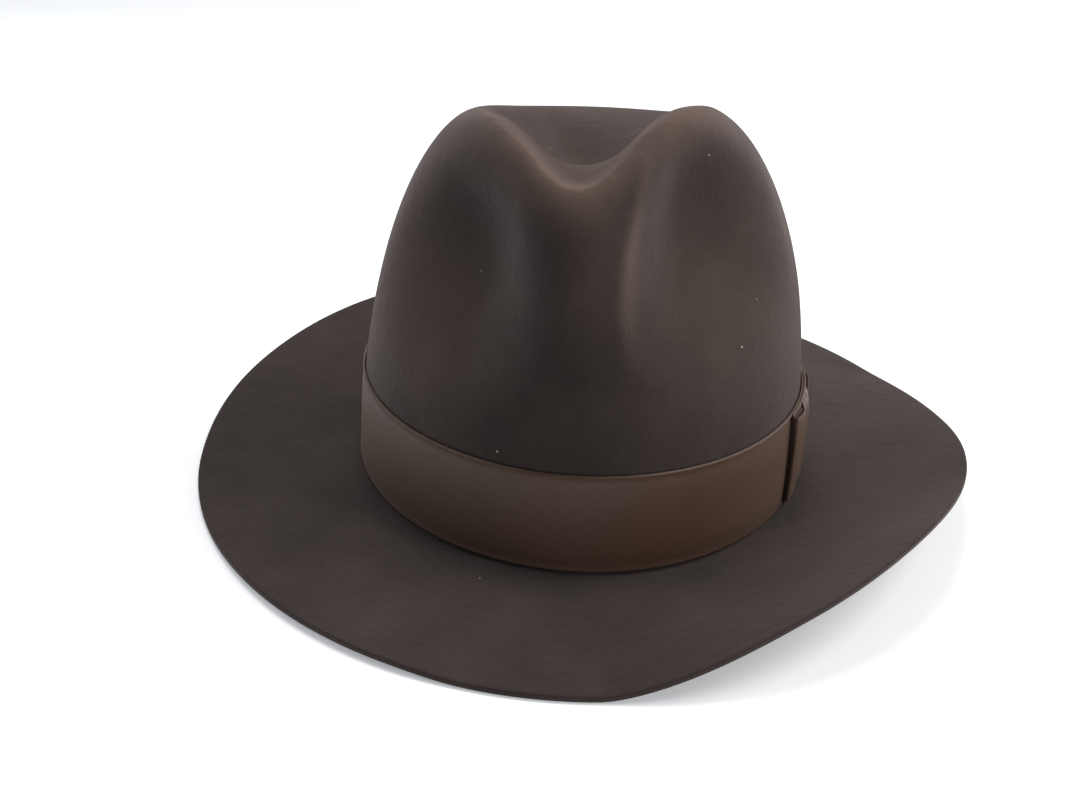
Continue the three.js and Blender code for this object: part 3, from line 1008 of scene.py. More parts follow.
def bent_strip(name: str, form: HatForm, start: float, end: float, steps: int,
               outline_at: Callable[[float], Array]) -> bpy.types.Object:
    """Bend a closed strip round the wall, with its ends closed.

    Args:
        name: the new piece's name.
        form: the hat's form.
        start: angle of its first end.
        end: angle of its second end.
        steps: sections along it.
        outline_at: gives a closed outline of (height, out) points at each share of the way.

    Returns:
        The new piece.
    """
    shares = np.linspace(0, 1, steps + 1)
    sections = [outline_at(float(share)) for share in shares]
    rows = np.stack([
        form.wall(start + (end - start) * share, outline[:, 0], outline[:, 1])
        for share, outline in zip(shares, sections)
    ])
    girth = float(np.linalg.norm(np.diff(sections[0], axis=0), axis=1).sum())
    run = math.radians(abs(end - start)) * form.mean_radius
    piece = draped_grid(name, np.swapaxes(rows, 0, 1)[list(range(rows.shape[1])) + [0]], False, (run, girth))
    close_ends(piece)
    return piece


# ---- Sub-assemblies ----------------------------------------------------------------------


@dataclass(frozen=True)
class HighlightPatch:
    """A patch of painted highlight on the felt, by degrees from the crease and share of its height."""

    middle: float
    level: float
    wide: float
    tall: float
    weight: float


@dataclass
class FeltBody:
    """The felt: crown, crease, pinches and raw-edged brim, in one piece."""

    form: HatForm
    # painted highlight on the lower pinch hollows, the front panel and the crown's sides
    highlight_patches: tuple[HighlightPatch, ...] = (
        HighlightPatch(-40.0, 0.52, 26.0, 0.30, 0.26),
        HighlightPatch(42.0, 0.62, 34.0, 0.36, 0.24),
        HighlightPatch(6.0, 0.80, 14.0, 0.26, 0.20),
        HighlightPatch(-66.0, 0.55, 22.0, 0.50, 0.20),
        HighlightPatch(75.0, 0.55, 26.0, 0.50, 0.10),
    )
    columns: int = 340
    dent_rows: int = 30
    wall_rows: int = 84
    break_rows: int = 5
    brim_rows: int = 38
    rim_round: float = 0.0005
    soft_passes: int = 5

    def outside(self) -> Array:
        """The outer face's rows, from the middle of the dent to the brim's edge.

        Returns:
            Points as (row, column, xyz).
        """
        form, angles = self.form, turn_angles(self.columns)
        travels = np.concatenate([
            np.linspace(2, 1, self.dent_rows, endpoint=False), np.linspace(1, 0, self.wall_rows)
        ])
        crown = form.crown(angles[None, :], travels[:, None])
        turns = np.radians(np.linspace(0, 90, self.break_rows + 2)[1:-1])
        out = form.break_radius * (1 - np.cos(turns))
        height = form.break_radius * (1 - np.sin(turns))
        corner = form.oval(angles[None, :], out[:, None], height[:, None])
        brim = form.brim(angles[None, :], np.linspace(0, 1, self.brim_rows)[:, None])
        rows = np.concatenate([crown, corner, brim])
        count = len(travels)
        rows[:count] = soften(rows[:count], self.soft_passes)
        return rows

    def waver(self, rows: Array) -> Array:
        """Add the slight unevenness of a hand-shaped felt, none beside the ribbon.

        Args:
            rows: points as (row, column, xyz).

        Returns:
            The wavered rows.
        """
        angles = np.radians(turn_angles(self.columns))[None, :]
        along = np.linspace(0, 1, len(rows))[:, None]
        ripple = np.sin(3 * angles + 7 * along) + 0.7 * np.sin(5 * angles - 11 * along + 1.3)
        height = rows[..., 2] - self.form.break_rise
        clear = np.clip((height - 0.045) / 0.03, 0, 1)
        return rows + normals(rows) * (0.00025 * ripple * clear)[..., None]

    def rim(self, outside: Array) -> Array:
        """The raw edge's rows: a small round at the top, a flat cut and a round below.

        Args:
            outside: the outer face's rows.

        Returns:
            The edge's rows.
        """
        last = outside[-1]
        outward = last - outside[-2]
        outward /= np.linalg.norm(outward, axis=-1, keepdims=True)
        turns = np.radians([25, 55, 90])
        felt, r = self.form.felt, self.rim_round
        steps = [(r * math.sin(t), r * (1 - math.cos(t))) for t in turns]
        steps += [(r, felt / 2)]
        steps += [(r * math.sin(t), felt - r * (1 - math.cos(t))) for t in turns[::-1]]
        down = np.array([0, 0, -1.0])
        return np.stack([last + outward * out + down * drop for out, drop in steps])

    def build(self) -> bpy.types.Object:
        """Build the felt as one closed shell.

        Returns:
            The new piece.
        """
        outside = self.waver(self.outside())
        brim_start = self.dent_rows + self.wall_rows + self.break_rows
        picked = np.unique(np.concatenate([
            np.arange(0, brim_start - self.break_rows - 3, 2),
            np.arange(brim_start - self.break_rows - 3, brim_start + 2),
            np.arange(brim_start + 2, len(outside), 2), [len(outside) - 1],
        ]))
        facing = normals(soften(outside, 2))
        facing[brim_start:] = (0, 0, 1)
        inside = (outside - facing * self.form.felt)[picked]
        crown_end = int(np.searchsorted(picked, brim_start - self.break_rows - 6))
        inside[:crown_end] = soften(inside[:crown_end], 3)
        inside[..., 2] = np.maximum(inside[..., 2], 0.0)
        rows = np.concatenate([outside, self.rim(outside), inside[::-1]])
        piece = draped_grid("felt", rows, True, (self.form.girth, 0.42))
        # paints the highlight on the crown's lit folds, ridge and patches into a mesh attribute
        self.fade(piece)
        return piece

    def fade(self, piece: bpy.types.Object) -> None:
        """Mark how much painted highlight each point gets: most on the crown's folds and on the right ridge.

        Args:
            piece: the piece to work on.
        """
        mesh = piece.data
        points = np.zeros(len(mesh.vertices) * 3, np.float32)
        mesh.vertices.foreach_get("co", points)
        points = points.reshape(-1, 3).astype(float)
        form = self.form
        height = points[:, 2] - form.break_rise
        x = (points[:, 0] - form.centre_x - form.lean * height) / form.half_width
        y = (points[:, 1] - form.centre_y) / form.half_length
        crease = (np.degrees(np.arctan2(x, -y)) + form.crease_turn + 180) % 360 - 180
        share = np.hypot(x, y)
        crest, crest_share = around(form.crest_height, crease), around(form.crest_share, crease)
        away = np.hypot((share - crest_share) * form.mean_radius, (height - crest) * 1.2)
        front = np.clip(0.45 - 0.9 * y, 0.12, 1)
        fold = np.exp(-((away / 0.012) ** 2))
        fold = np.maximum(fold, 0.55 * (height > 0.09) * (share < crest_share))
        pinch = form.pinches[0]
        level = height / crest
        ridge = pinch.ridge + RIDGE_SPREAD * (level - RIDGE_WAIST) ** 2 + 2.5
        line = np.exp(-(((crease - ridge) / 2.6) ** 2)) * bump((level - 0.78) / 0.26)
        patch_highlight = np.zeros(len(height))
        for highlight_patch in self.highlight_patches:
            across = bump((crease - highlight_patch.middle) / highlight_patch.wide)
            patch_highlight += highlight_patch.weight * across * bump((level - highlight_patch.level) / highlight_patch.tall)
        # painted highlight: lit crest folds towards the front, the right pinch ridge line and the lit
        # patches
        painted_highlight = np.clip(fold * front + 0.5 * line + patch_highlight, 0, 1)
        layer = mesh.attributes.new(PAINTED_HIGHLIGHT, "FLOAT", "POINT")
        layer.data.foreach_set("value", painted_highlight.astype(np.float32))


@dataclass
class Ribbon:
    """The hat ribbon, its beaded selvedges and the four threads that hold its top edge."""

    form: HatForm
    foot: float = 0.0013
    height: float = 0.036
    thickness: float = 0.0007
    gap: float = 0.00035
    bead: float = 0.0004
    tack_angles: tuple[float, ...] = (-130, -45, 20, 160)

    @property
    def top(self) -> float:
        """Height of the top edge above the break."""
        return self.foot + self.height

    @property
    def face(self) -> float:
        """How far the ribbon's face stands off the felt."""
        return self.gap + self.thickness

    def build(self) -> bpy.types.Object:
        """Build the band."""
        outline = strip_outline(self.foot, self.top, self.gap, self.face, self.bead, 26)
        return hoop("ribbon_band", self.form, outline, 300)

    def tack(self, number: int) -> bpy.types.Object:
        """One small stitch over the top edge, in two plies.

        Args:
            number: which stitch, counted from 1.

        Returns:
            The new piece.
        """
        angle = self.tack_angles[number - 1]
        angles = np.array([angle - 0.25, angle + 0.25])
        low = self.form.wall(angles, self.top - 0.0012, self.face + 0.0004)
        high = self.form.wall(angles, self.top + 0.0008, 0.0003)
        out = self.form.wall(angles, self.top, self.face + MM) - self.form.wall(angles, self.top, 0.0)
        return stitches(f"ribbon_stitch_{number}", (low + high) / 2, high - low, out, 0.0026, 0.00018)


class LoopEnd(Enum):
    """Which way a bow loop points from the knot."""

    FRONT = -1
    REAR = 1

    @property
    def flare(self) -> tuple[float, float]:
        """How far the loop stands out at its lower edge, and how much more at its upper."""
        return (0.8, 0.5) if self is LoopEnd.FRONT else (0.6, 0.1)


@dataclass
class SideBow:
    """The flat bow on the wearer's left: a base, two folded loops and a wrapped knot."""

    form: HatForm
    ribbon: Ribbon
    start: float = 49.0
    end: float = 73.0
    base_thickness: float = 0.0005
    loop_thickness: float = 0.0005
    loop_depth: float = 0.0013
    gap: float = 0.0001
    knot_width: float = 0.013

    @property
    def back(self) -> float:
        """Distance out of the base's back face."""
        return self.ribbon.face + self.ribbon.bead * 0.5 + self.gap

    @property
    def face(self) -> float:
        """Distance out of the loops' back face."""
        return self.back + self.base_thickness + self.gap

    @property
    def middle(self) -> float:
        """The knot's angle."""
        return (self.start + self.end) / 2

    def degrees(self, length: float) -> float:
        """Degrees round the wall that a length takes up."""
        return math.degrees(length / self.form.mean_radius)

    def base(self) -> bpy.types.Object:
        """The flat ribbon behind the loops.

        Returns:
            The new piece.
        """
        near, far = self.back, self.back + self.base_thickness
        outline = strip_outline(self.ribbon.foot, self.ribbon.top, near, far, 0.0002, 14)
        return bent_strip("bow_backing", self.form, self.start, self.end, 30, lambda share: outline)

    def loop(self, end: LoopEnd) -> bpy.types.Object:
        """One loop: the ribbon runs out over itself, folds and comes back underneath.

        Args:
            end: which end of the bow.

        Returns:
            The new piece.
        """
        tip = self.start if end is LoopEnd.FRONT else self.end
        root = self.middle + end.value * self.degrees(self.knot_width * 0.36)
        depth, half = self.loop_depth, self.loop_thickness / 2
        run = np.linspace(0, 1, 22)
        belly = depth * (0.42 + 0.58 * np.sin(np.pi * np.clip(run * 0.78, 0, 1)) ** 1.3)
        outer = np.stack([run, belly], axis=1)
        turn = np.radians(np.linspace(90, -90, 11)[1:-1])
        fold_radius = belly[-1] / 2 - half
        reach = self.degrees(fold_radius + half) / abs(tip - root)
        fold = np.stack([1 + reach * np.cos(turn), belly[-1] / 2 + (belly[-1] / 2) * np.sin(turn)], axis=1)
        inner = np.stack([run[::-1], np.full(22, 0.0)], axis=1)
        centre = np.concatenate([outer, fold, inner])
        centre[:, 0] *= 1 - reach
        scale = np.array([math.radians(abs(tip - root)) * self.form.mean_radius, 1.0])
        ahead = np.gradient(centre * scale, axis=0)
        ahead /= np.linalg.norm(ahead, axis=1, keepdims=True)
        side = np.stack([ahead[:, 1], -ahead[:, 0]], axis=1) * half
        middle = centre * scale + np.array([0, self.face + half])
        plan = np.concatenate([middle - side, (middle + side)[::-1]])
        angles = root + (tip - root) * plan[:, 0] / scale[0]
        shares = np.clip(plan[:, 0] / scale[0], 0, 1)
        bottom, top = self.ribbon.foot + MM, self.ribbon.top - MM
        foot_flare, top_flare = end.flare
        rows = []
        for step in np.linspace(0, 1, 17):
            gather = 0.003 * (1 - shares) ** 2
            height = bottom + gather + (top - bottom - 2 * gather) * step
            out = self.face + (plan[:, 1] - self.face) * (foot_flare + top_flare * step)
            rows.append(self.form.wall(angles, height, out))
        name = "bow_loop_front" if end is LoopEnd.FRONT else "bow_loop_rear"
        piece = draped_grid(name, np.stack(rows), True, (0.12, 0.036))
        close_ends(piece)
        sharp = math.radians(60)
        apply_modifier(piece, "BEVEL", width=0.0002, segments=2, limit_method="ANGLE", angle_limit=sharp)
        return piece

    def knot(self) -> bpy.types.Object:
        """The knot: a narrower ribbon wrapped over the middle, gathered into soft pleats.

        Returns:
            The new piece.
        """
        half = self.degrees(self.knot_width / 2)
        bottom, top = self.ribbon.foot + 0.0004, self.ribbon.top - 0.0004

        def outline(share: float) -> Array:
            """The wrap's section across the pleats.

            Args:
                share: the share of the way along it.

            Returns:
                (height, out) points.
            """
            pleat = 0.00025 * math.cos(share * 6 * math.pi)
            swell = self.loop_depth * 0.8 + 0.0007 + pleat
            edge = 1 - 0.5 * abs(2 * share - 1) ** 6
            heights = np.linspace(bottom, top, 18)
            level = np.abs(2 * (heights - bottom) / (top - bottom) - 1)
            lean = 0.86 + 0.14 * (heights - bottom) / (top - bottom)
            front = self.face + swell * edge * (1 - level**7) ** 0.5 * lean
            back = np.stack([heights[::-1][1:-1], np.full(16, self.face)], axis=1)
            return np.concatenate([np.stack([heights, front], axis=1), back])

        return bent_strip("bow_wrap", self.form, self.middle - half, self.middle + half, 40, outline)

    def tack(self, end: LoopEnd) -> bpy.types.Object:
        """A small stitch through the base's top corner.

        Args:
            end: which end of the bow.

        Returns:
            The new piece.
        """
        tip = self.start if end is LoopEnd.FRONT else self.end
        angle = np.array([tip - end.value * self.degrees(0.0006)])
        out = self.back + self.base_thickness + 0.0003
        low = self.form.wall(angle, self.ribbon.top - 0.006, out)
        high = self.form.wall(angle, self.ribbon.top - 0.002, out)
        away = self.form.wall(angle, self.ribbon.top, out + MM) - self.form.wall(angle, self.ribbon.top, out)
        name = "bow_stitch_front" if end is LoopEnd.FRONT else "bow_stitch_rear"
        return stitches(name, (low + high) / 2, high - low, away, 0.004, 0.00035)


@dataclass
class Sweatband:
    """The leather band inside the crown, its reed, tape, threads, back bow and label."""

    form: HatForm
    gap: float = 0.00035
    leather: float = 0.0011
    top: float = 0.048
    top_inset: float = 0.0024
    reed_radius: float = 0.0006
    tape: float = 0.00035
    thread_radius: float = 0.00025
    stitch_pitch: float = 0.0026
    seam_tape_width: float = 0.008
    label_width: float = 0.014
    label_height: float = 0.020
    label_foot: float = 0.026

    @property
    def tape_radius(self) -> float:
        """Radius of the tape where it goes round the reed."""
        return self.reed_radius + self.gap + self.tape

    @property
    def reed_depth(self) -> float:
        """The reed's depth inside the felt's outer face."""
        return self.form.felt + self.gap + self.tape_radius

    @property
    def reed_height(self) -> float:
        """The reed's height above the break."""
        return self.form.break_radius + 0.0008

    @property
    def leather_foot(self) -> float:
        """The leather's lower edge."""
        return self.reed_height + self.reed_radius + self.gap

    @property
    def tape_top(self) -> float:
        """Height of the tape's upper edges."""
        return self.leather_foot + 0.003

    @property
    def tape_face(self) -> float:
        """Depth of the tape's inner face."""
        return self.reed_depth + max(self.tape_radius, self.leather / 2 + self.gap + self.tape)

    def leather_depth(self, height: Array) -> Array:
        """Depth of the leather's outer face at a height."""
        up = np.clip((height - self.tape_top) / (self.top - self.tape_top), 0, 1)
        return self.reed_depth - self.leather / 2 + self.top_inset * up

    def band_face(self, height: Array) -> Array:
        """Depth just clear of the leather's inner face at a height."""
        return self.leather_depth(height) + self.leather + self.gap

    def band(self) -> bpy.types.Object:
        """The leather itself, its edges skived round and its face scored near the bottom.

        Returns:
            The new piece.
        """
        heights = np.linspace(self.leather_foot + 0.0003, self.top - 0.0003, 34)
        near, far = self.leather_depth(heights), self.leather_depth(heights) + self.leather
        far = far - 0.0002 * bump((heights - self.tape_top - 0.003) / 0.0012)
        ends = [(self.top, (near[-1] + far[-1]) / 2)], [(self.leather_foot, (near[0] + far[0]) / 2)]
        outline = np.concatenate([
            np.stack([heights, -near], axis=1), np.array(ends[0]) * (1, -1),
            np.stack([heights[::-1], -far[::-1]], axis=1), np.array(ends[1]) * (1, -1),
        ])
        return hoop("sweatband_leather", self.form, outline, 300)

    def reed(self) -> bpy.types.Object:
        """The round reed that stiffens the band's foot."""
        outline = round_outline(self.reed_height, -self.reed_depth, self.reed_radius)
        return hoop("reed", self.form, outline, 200)

    def folded_tape(self) -> bpy.types.Object:
        """The tape folded round the reed and up both sides of the leather.

        Returns:
            The new piece.
        """
        outer = self.tape_face - self.reed_depth
        turns = np.radians(np.linspace(0, 180, 9))

        def leg(half: float, low: float) -> Array:
            """The U's outline at one half width, from the outer leg down and round to the inner.

            Args:
                half: half the width of the U.
                low: how far below the reed's middle it reaches.

            Returns:
                (height, out) points.
            """
            heights = self.reed_height - low * np.sin(turns)
            curve = np.stack([heights, -self.reed_depth + half * np.cos(turns)], axis=1)
            first = (self.tape_top, -self.reed_depth + half)
            last = (self.tape_top, -self.reed_depth - half)
            return np.concatenate([[first], curve, [last]])

        drop = self.reed_radius + self.gap
        outline = np.concatenate([leg(outer, drop + self.tape), leg(outer - self.tape, drop)[::-1]])
        return hoop("reed_tape_fold", self.form, outline, 240)

    def lockstitch(self) -> bpy.types.Object:
        """The stitches through tape and leather, seen inside the hat.

        Returns:
            The new piece.
        """
        depth = self.tape_face + self.gap + self.thread_radius
        return stitch_ring("lockstitch", self.form, self.tape_top - MM, -depth,
                           self.stitch_pitch, self.stitch_pitch * 0.9, self.thread_radius)

    def sewing(self) -> bpy.types.Object:
        """The stitches that join the tape to the felt, seen from below.

        Returns:
            The new piece.
        """
        depth = self.form.felt + self.gap + self.thread_radius * 2
        return stitch_ring("brim_stitching", self.form, 0.0004, -depth,
                           0.0042, 0.0036, self.thread_radius)

    def patch(self, name: str, start: float, end: float, bottom: float, top: float,
              lift: float, thickness: float, steps: int = 10) -> bpy.types.Object:
        """A thin patch on the leather's inner face.

        Args:
            name: the new piece's name.
            start: angle of its first end.
            end: angle of its second end.
            bottom: height of its lower edge.
            top: height of its upper edge.
            lift: extra room behind it.
            thickness: its thickness.
            steps: sections along it.

        Returns:
            The new piece.
        """

        def outline(share: float) -> Array:
            """The patch's section, its top and bottom edges eased.

            Args:
                share: the share of the way along it.

            Returns:
                (height, out) points.
            """
            heights = np.linspace(bottom, top, 12)
            face = -(self.band_face(heights) + lift)
            swell = thickness * (1 - 0.35 * np.abs(2 * (heights - bottom) / (top - bottom) - 1) ** 8)
            return np.concatenate([
                np.stack([heights, face], axis=1), np.stack([heights[::-1], (face - swell)[::-1]], axis=1)
            ])

        return bent_strip(name, self.form, start, end, steps, outline)

    def seam_tape(self) -> bpy.types.Object:
        """The leather strip over the band's back seam.

        Returns:
            The new piece.
        """
        half = math.degrees(self.seam_tape_width / self.form.mean_radius) / 2
        bottom, top = self.tape_top + MM, self.top - MM
        return self.patch("back_seam_tape", 180 - half, 180 + half, bottom, top, 0, 0.0004)

    def rear_bow(self) -> bpy.types.Object:
        """The small satin bow at the back of the band, waisted under its knot.

        Returns:
            The new piece.
        """
        half = math.degrees(0.011 / self.form.mean_radius)
        foot, tall = self.tape_top + 0.003, 0.009
        face = float(self.band_face(foot + tall)) + 0.0004 + self.gap

        def outline(share: float) -> Array:
            """The bow's section: puffed loops, a narrow waist and soft creases.

            Args:
                share: the share of the way along it.

            Returns:
                (height, out) points.
            """
            waist = 0.0026 * float(bump((share - 0.5) * 3))
            heights = np.linspace(foot + waist, foot + tall - waist, 12)
            level = 2 * (heights - heights[0]) / (heights[-1] - heights[0]) - 1
            puff = 0.0004 + 0.0011 * math.sin(math.pi * abs(2 * share - 1) ** 0.8) ** 0.7
            front = puff * (1 - level**6 * 0.6) + 0.00015 * np.cos(level * 9) * (1 - abs(2 * share - 1))
            return np.concatenate([
                np.stack([heights, np.full(12, -face)], axis=1),
                np.stack([heights[::-1], -(face + front[::-1])], axis=1),
            ])

        return bent_strip("back_bow", self.form, 180 - half, 180 + half, 40, outline)

    def rear_knot(self) -> bpy.types.Object:
        """The little bow's knot, rounded over its middle.

        Returns:
            The new piece.
        """
        half = math.degrees(0.0024 / self.form.mean_radius)
        foot, tall = self.tape_top + 0.0046, 0.0058
        face = float(self.band_face(foot + tall)) + 0.0004 + self.gap * 2 + 0.001

        def outline(share: float) -> Array:
            """The knot's section.

            Args:
                share: the share of the way along it.

            Returns:
                (height, out) points.
            """
            heights = np.linspace(foot, foot + tall, 10)
            level = 2 * (heights - foot) / tall - 1
            round_off = (1 - level**4 * 0.8) * (1 - abs(2 * share - 1) ** 4 * 0.7)
            return np.concatenate([
                np.stack([heights, np.full(10, -face)], axis=1),
                np.stack([heights[::-1], -(face + 0.0009 * round_off + 0.00005)[::-1]], axis=1),
            ])

        return bent_strip("back_bow_knot", self.form, 180 - half, 180 + half, 14, outline)

    def label(self) -> bpy.types.Object:
        """A blank size label, tucked behind the seam tape.

        Returns:
            The new piece.
        """
        start = 180 + math.degrees(self.seam_tape_width / self.form.mean_radius) / 2 + 2
        end = start + math.degrees(self.label_width / self.form.mean_radius)
        top = self.label_foot + self.label_height
        return self.patch("blank_label", start, end, self.label_foot, top, 0, 0.0003)


@dataclass
class Lining:
    """The satin lining: gathered side, piped tip, back seam, and the film over the tip."""

    form: HatForm
    felt: FeltBody
    ease: float = 0.0016
    satin: float = 0.00045
    gap: float = 0.00035
    foot: float = 0.038
    side_top: float = 0.85
    tip_edge: float = 0.93
    piping_radius: float = 0.0008
    film: float = 0.0004
    film_start: float = 1.4
    pleats: int = 64

    @property
    def depth(self) -> float:
        """The lining's outer face, inside the felt's outer face."""
        return self.form.felt + self.ease

    def inner(self, travels: Array, depth: float, passes: int = 6) -> Array:
        """Rows at a depth inside the crown, eased so that they never fold.

        Args:
            travels: the rows, by travel up the crown.
            depth: depth inside the felt's outside.
            passes: how many times the rows are eased.

        Returns:
            Points as (row, column, xyz).
        """
        angles = turn_angles(self.felt.columns)
        fine = np.linspace(2, 0.2, 121)
        base = soften(self.form.crown(angles[None, :], fine[:, None]), 4)
        inside = base - normals(base) * depth
        inside[0] = base[0] - np.array([0, 0, depth])
        inside = soften(inside, passes)
        places = (2 - travels) / (2 - 0.2) * 120
        low = np.clip(np.floor(places).astype(int), 0, 119)
        share = (places - low)[:, None, None]
        return inside[low] * (1 - share) + inside[low + 1] * share

    def shell(self, name: str, travels: Array, depth: float, thickness: float,
              ripple: float = 0.0) -> bpy.types.Object:
        """A thin closed shell over some of the crown's rows.

        Args:
            name: the new piece's name.
            travels: the rows, by travel up the crown.
            depth: depth inside the felt's outside.
            thickness: its thickness.
            ripple: height of the gathers.

        Returns:
            The new piece.
        """
        near, far = self.inner(travels, depth), self.inner(travels, depth + thickness)
        if ripple:
            angles = np.radians(turn_angles(self.felt.columns))
            fade = np.linspace(1, 0.35, len(travels))[:, None]
            wave = np.sin(self.pleats * angles + 1.5 * np.sin(5 * angles))[None, :] * ripple * fade
            facing = normals(near)
            shift = facing * (wave + ripple)[..., None]
            near, far = near - shift, far - shift
        rows = np.concatenate([near, far[::-1]])
        if travels[0] < 2:
            rows = np.concatenate([rows, near[:1]])
        return draped_grid(name, rows, True, (self.form.girth, 0.2))

    def side(self) -> bpy.types.Object:
        """The side, gathered into the piping and running down behind the leather.

        Returns:
            The new piece.
        """
        foot = float(self.form.travel_at(np.array(0.0), self.foot))
        travels = np.linspace(self.side_top, foot, 40)
        return self.shell("lining_wall", travels, self.depth, self.satin, 0.00022)

    def tip(self) -> bpy.types.Object:
        """The oval tip."""
        return self.shell("lining_crown", np.linspace(2, self.tip_edge, 40), self.depth, self.satin)

    def piping(self) -> bpy.types.Object:
        """The covered cord in the seam between side and tip.

        Returns:
            The new piece.
        """
        middle = (self.side_top + self.tip_edge) / 2
        depth = self.depth + self.satin + self.piping_radius
        centre = self.inner(np.array([middle]), depth)[0]
        above = self.inner(np.array([middle + 0.02]), depth)[0] - centre
        above /= np.linalg.norm(above, axis=-1, keepdims=True)
        along = np.roll(centre, -1, axis=0) - np.roll(centre, 1, axis=0)
        across = np.cross(along, above)
        across /= np.linalg.norm(across, axis=-1, keepdims=True)
        turns = np.linspace(0, 2 * np.pi, 11)
        rows = np.stack([
            centre + self.piping_radius * (above * np.sin(t) + across * np.cos(t)) for t in turns
        ])
        return draped_grid("lining_cord", rows, True, (self.form.girth, 0.005))

    def seam(self) -> bpy.types.Object:
        """The narrow fold that runs up the back of the side.

        Returns:
            The new piece.
        """
        half = 0.004
        near = self.depth + self.satin + self.gap * 2
        foot = float(self.form.travel_at(np.array(180.0), 0.051))
        travels = np.linspace(self.side_top - 0.02, foot, 24)
        column = self.felt.columns // 2
        spread = 3
        base = self.inner(travels, near)[:, column - spread : column + spread + 1]
        facing = normals(self.inner(travels, near))[:, column - spread : column + spread + 1]
        swell = 0.0005 * (1 - 0.7 * np.abs(np.linspace(-1, 1, 2 * spread + 1)) ** 3)[None, :, None]
        top = base - facing * swell
        loop = np.concatenate([base, top[:, ::-1]], axis=1)
        piece = draped_grid("lining_fold", loop, True, (half * 4, 0.05))
        close_ends(piece)
        return piece

    def protector(self) -> bpy.types.Object:
        """The clear film."""
        depth = self.depth + self.satin + self.gap
        return self.shell("tip_film", np.linspace(2, self.film_start, 24), depth, self.film)

    def protector_stitches(self) -> bpy.types.Object:
        """The running stitch round the film's edge.

        Returns:
            The new piece.
        """
        depth = self.depth + self.satin + self.gap + self.film / 2
        ring = self.inner(np.array([self.film_start - 0.03]), depth)[0]
        step = 3
        along = np.roll(ring, -1, axis=0) - np.roll(ring, 1, axis=0)
        deeper = self.inner(np.array([self.film_start - 0.03]), depth + MM)[0] - ring
        return stitches("film_stitching", ring[::step], along[::step], deeper[::step], 0.0016, 0.00022)


# ---- Studio ------------------------------------------------------------------------------


@dataclass(frozen=True)
class Lamp:
    """A round soft lamp, aimed at the hat."""

    name: str
    place: tuple[float, float, float]
    size: float
    power: float
    colour: tuple[float, float, float]


@dataclass
class Studio:
    """The camera, a pale floor and soft light."""

    eye: tuple[float, float, float] = (-0.0836, -0.4390, 0.23555)
    target: tuple[float, float, float] = (-0.0148, -0.0044, 0.0201)
    lens: float = 40.16
    sensor: float = 36.0
    floor_size: float = 16.0
    floor_drop: float = -0.0001
    world_light: float = 0.25
    lamps: tuple[Lamp, ...] = (
        Lamp("key", (1.75, 0.0, 1.7), 1.2, 35.0, (1.0, 0.98, 0.96)),
        Lamp("top_back", (-0.05, 0.95, 2.2), 1.2, 17.0, (1.0, 0.985, 0.96)),
        Lamp("over", (0.02, 0.12, 0.66), 0.3, 1.0, (1.0, 0.96, 0.92)),
        Lamp("front_right", (1.35, -1.0, 0.5), 0.6, 11.0, (1.0, 0.95, 0.92)),
        Lamp("rim_left", (-1.2, 0.75, 0.5), 0.8, 4.5, (0.95, 0.95, 1.0)),
    )

    def camera(self) -> None:
        """Create the scene's camera."""
        data = bpy.data.cameras.new("camera")
        data.lens, data.sensor_width = self.lens, self.sensor
        data.clip_start, data.clip_end = 0.01, 50
        camera = bpy.data.objects.new("camera", data)
        bpy.context.collection.objects.link(camera)
        camera.location = self.eye
        camera.rotation_mode = "QUATERNION"
        aim = Vector(self.target) - Vector(self.eye)
        camera.rotation_quaternion = aim.to_track_quat("-Z", "Y")
        bpy.context.scene.camera = camera

    def floor(self) -> None:
        """Lay a wide flat floor, just below the brim."""
        deselect()
        bpy.ops.mesh.primitive_plane_add(size=self.floor_size, location=(0, 0, self.floor_drop))
        floor = bpy.context.object
        floor.name = "floor"
        bpy.ops.object.transform_apply(location=True)
        floor.data.materials.append(FloorFinish().build())

    def light(self) -> None:
        """Place the soft lamps and the pale surround."""
        bpy.context.scene.view_settings.view_transform = "Standard"
        world = bpy.data.worlds.new("surround")
        bpy.context.scene.world = world
        world.use_nodes = True
        background = world.node_tree.nodes["Background"]
        background.inputs["Color"].default_value = (0.95, 0.975, 1.0, 1)
        background.inputs["Strength"].default_value = self.world_light
        backdrop = world.node_tree.nodes.new("ShaderNodeBackground")
        backdrop.inputs["Color"].default_value = (0.9, 0.92, 0.94, 1)
        sight = world.node_tree.nodes.new("ShaderNodeLightPath")
        mix = world.node_tree.nodes.new("ShaderNodeMixShader")
        link = world.node_tree.links.new
        link(sight.outputs["Is Camera Ray"], mix.inputs["Fac"])
        link(background.outputs["Background"], mix.inputs[1])
        link(backdrop.outputs["Background"], mix.inputs[2])
        link(mix.outputs["Shader"], world.node_tree.nodes["World Output"].inputs["Surface"])
        for lamp in self.lamps:
            data = bpy.data.lights.new(lamp.name, "AREA")
            data.shape, data.size = "DISK", lamp.size
            data.energy, data.color = lamp.power, lamp.colour
            light = bpy.data.objects.new(lamp.name, data)
            bpy.context.collection.objects.link(light)
            light.location = lamp.place
            light.rotation_mode = "QUATERNION"
            aim = Vector((0, 0, 0.05)) - Vector(lamp.place)
            light.rotation_quaternion = aim.to_track_quat("-Z", "Y")


def placed_form() -> HatForm:
    """The hat's form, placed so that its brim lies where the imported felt's brim lies.

    Returns:
        The form.
    """
    low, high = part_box("felt_body")
    loose = HatForm(0.0, 0.0)
    rim = loose.brim(turn_angles(720), 1.0)
    middle = (rim.max(axis=0) + rim.min(axis=0)) / 2
    return HatForm((low[0] + high[0]) / 2 - middle[0], (low[1] + high[1]) / 2 - middle[1])


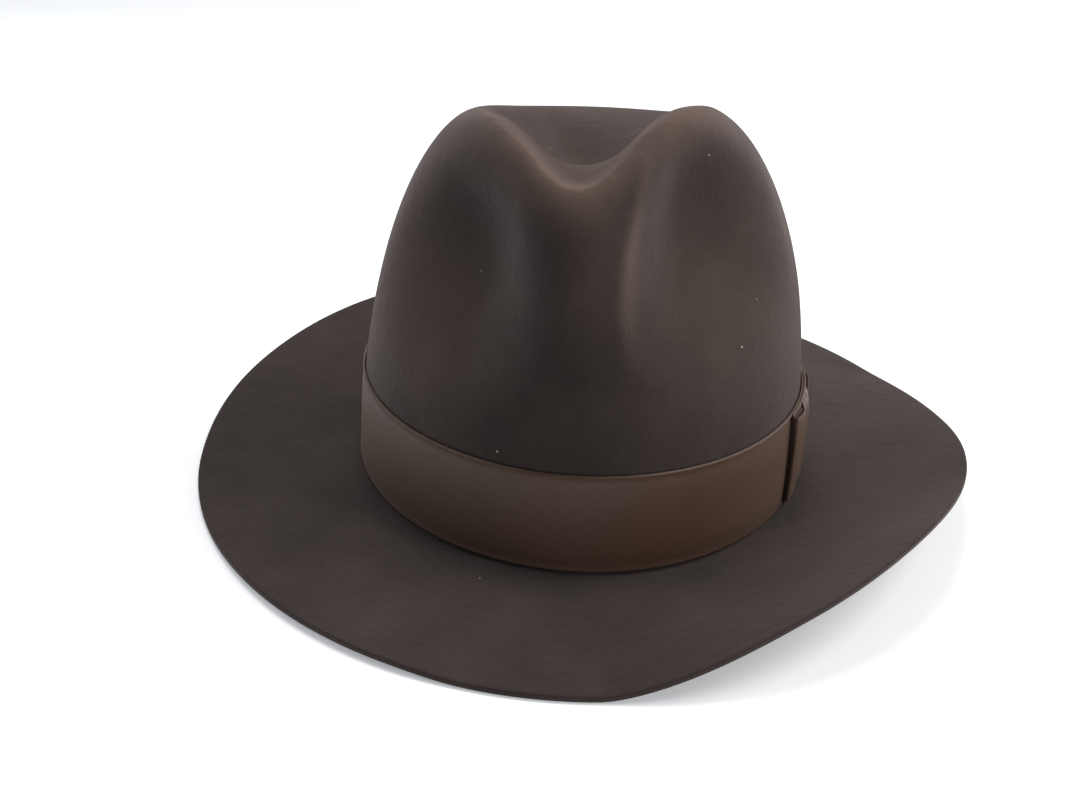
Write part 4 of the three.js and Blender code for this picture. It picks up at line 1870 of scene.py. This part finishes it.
def main() -> None:
    """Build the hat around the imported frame."""
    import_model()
    studio = Studio()
    studio.camera()
    form = placed_form()
    dresser = Dresser()
    dress = dresser.dress

    felt = FeltBody(form)
    dress(felt.build(), Slot.FELT, "felt_body", angle=60)

    ribbon = Ribbon(form)
    dress(ribbon.build(), Slot.RIBBON, "hat_ribbon")
    for number in range(1, len(ribbon.tack_angles) + 1):
        dress(ribbon.tack(number), Slot.THREAD, f"ribbon_tack_{number}")

    bow = SideBow(form, ribbon)
    dress(bow.base(), Slot.RIBBON, "bow_base")
    dress(bow.loop(LoopEnd.FRONT), Slot.RIBBON, "bow_front_loop")
    dress(bow.loop(LoopEnd.REAR), Slot.RIBBON, "bow_rear_loop")
    dress(bow.knot(), Slot.RIBBON, "bow_knot")
    dress(bow.tack(LoopEnd.FRONT), Slot.THREAD, "bow_front_tack")
    dress(bow.tack(LoopEnd.REAR), Slot.THREAD, "bow_rear_tack")

    band = Sweatband(form)
    dress(band.band(), Slot.LEATHER, "sweatband")
    dress(band.reed(), Slot.REED, "sweatband_reed")
    dress(band.folded_tape(), Slot.TAPE, "reed_tape")
    dress(band.lockstitch(), Slot.THREAD, "sweatband_lockstitch")
    dress(band.sewing(), Slot.THREAD, "sweatband_sewing_thread")
    dress(band.seam_tape(), Slot.LEATHER, "sweatband_seam_tape")
    dress(band.rear_bow(), Slot.SATIN, "rear_bow_loops")
    dress(band.rear_knot(), Slot.SATIN, "rear_bow_knot")
    dress(band.label(), Slot.LABEL, "size_label")

    lining = Lining(form, felt)
    dress(lining.side(), Slot.SATIN, "lining_side")
    dress(lining.tip(), Slot.SATIN, "lining_tip")
    dress(lining.piping(), Slot.PIPING, "lining_piping")
    dress(lining.seam(), Slot.SATIN, "lining_side_seam")
    dress(lining.protector(), Slot.FILM, "lining_tip_protector")
    dress(lining.protector_stitches(), Slot.THREAD, "protector_stitching")

    studio.floor()
    studio.light()
    deselect()


if __name__ == "__main__":
    logging.basicConfig(level=logging.INFO, format="%(message)s")
    main()
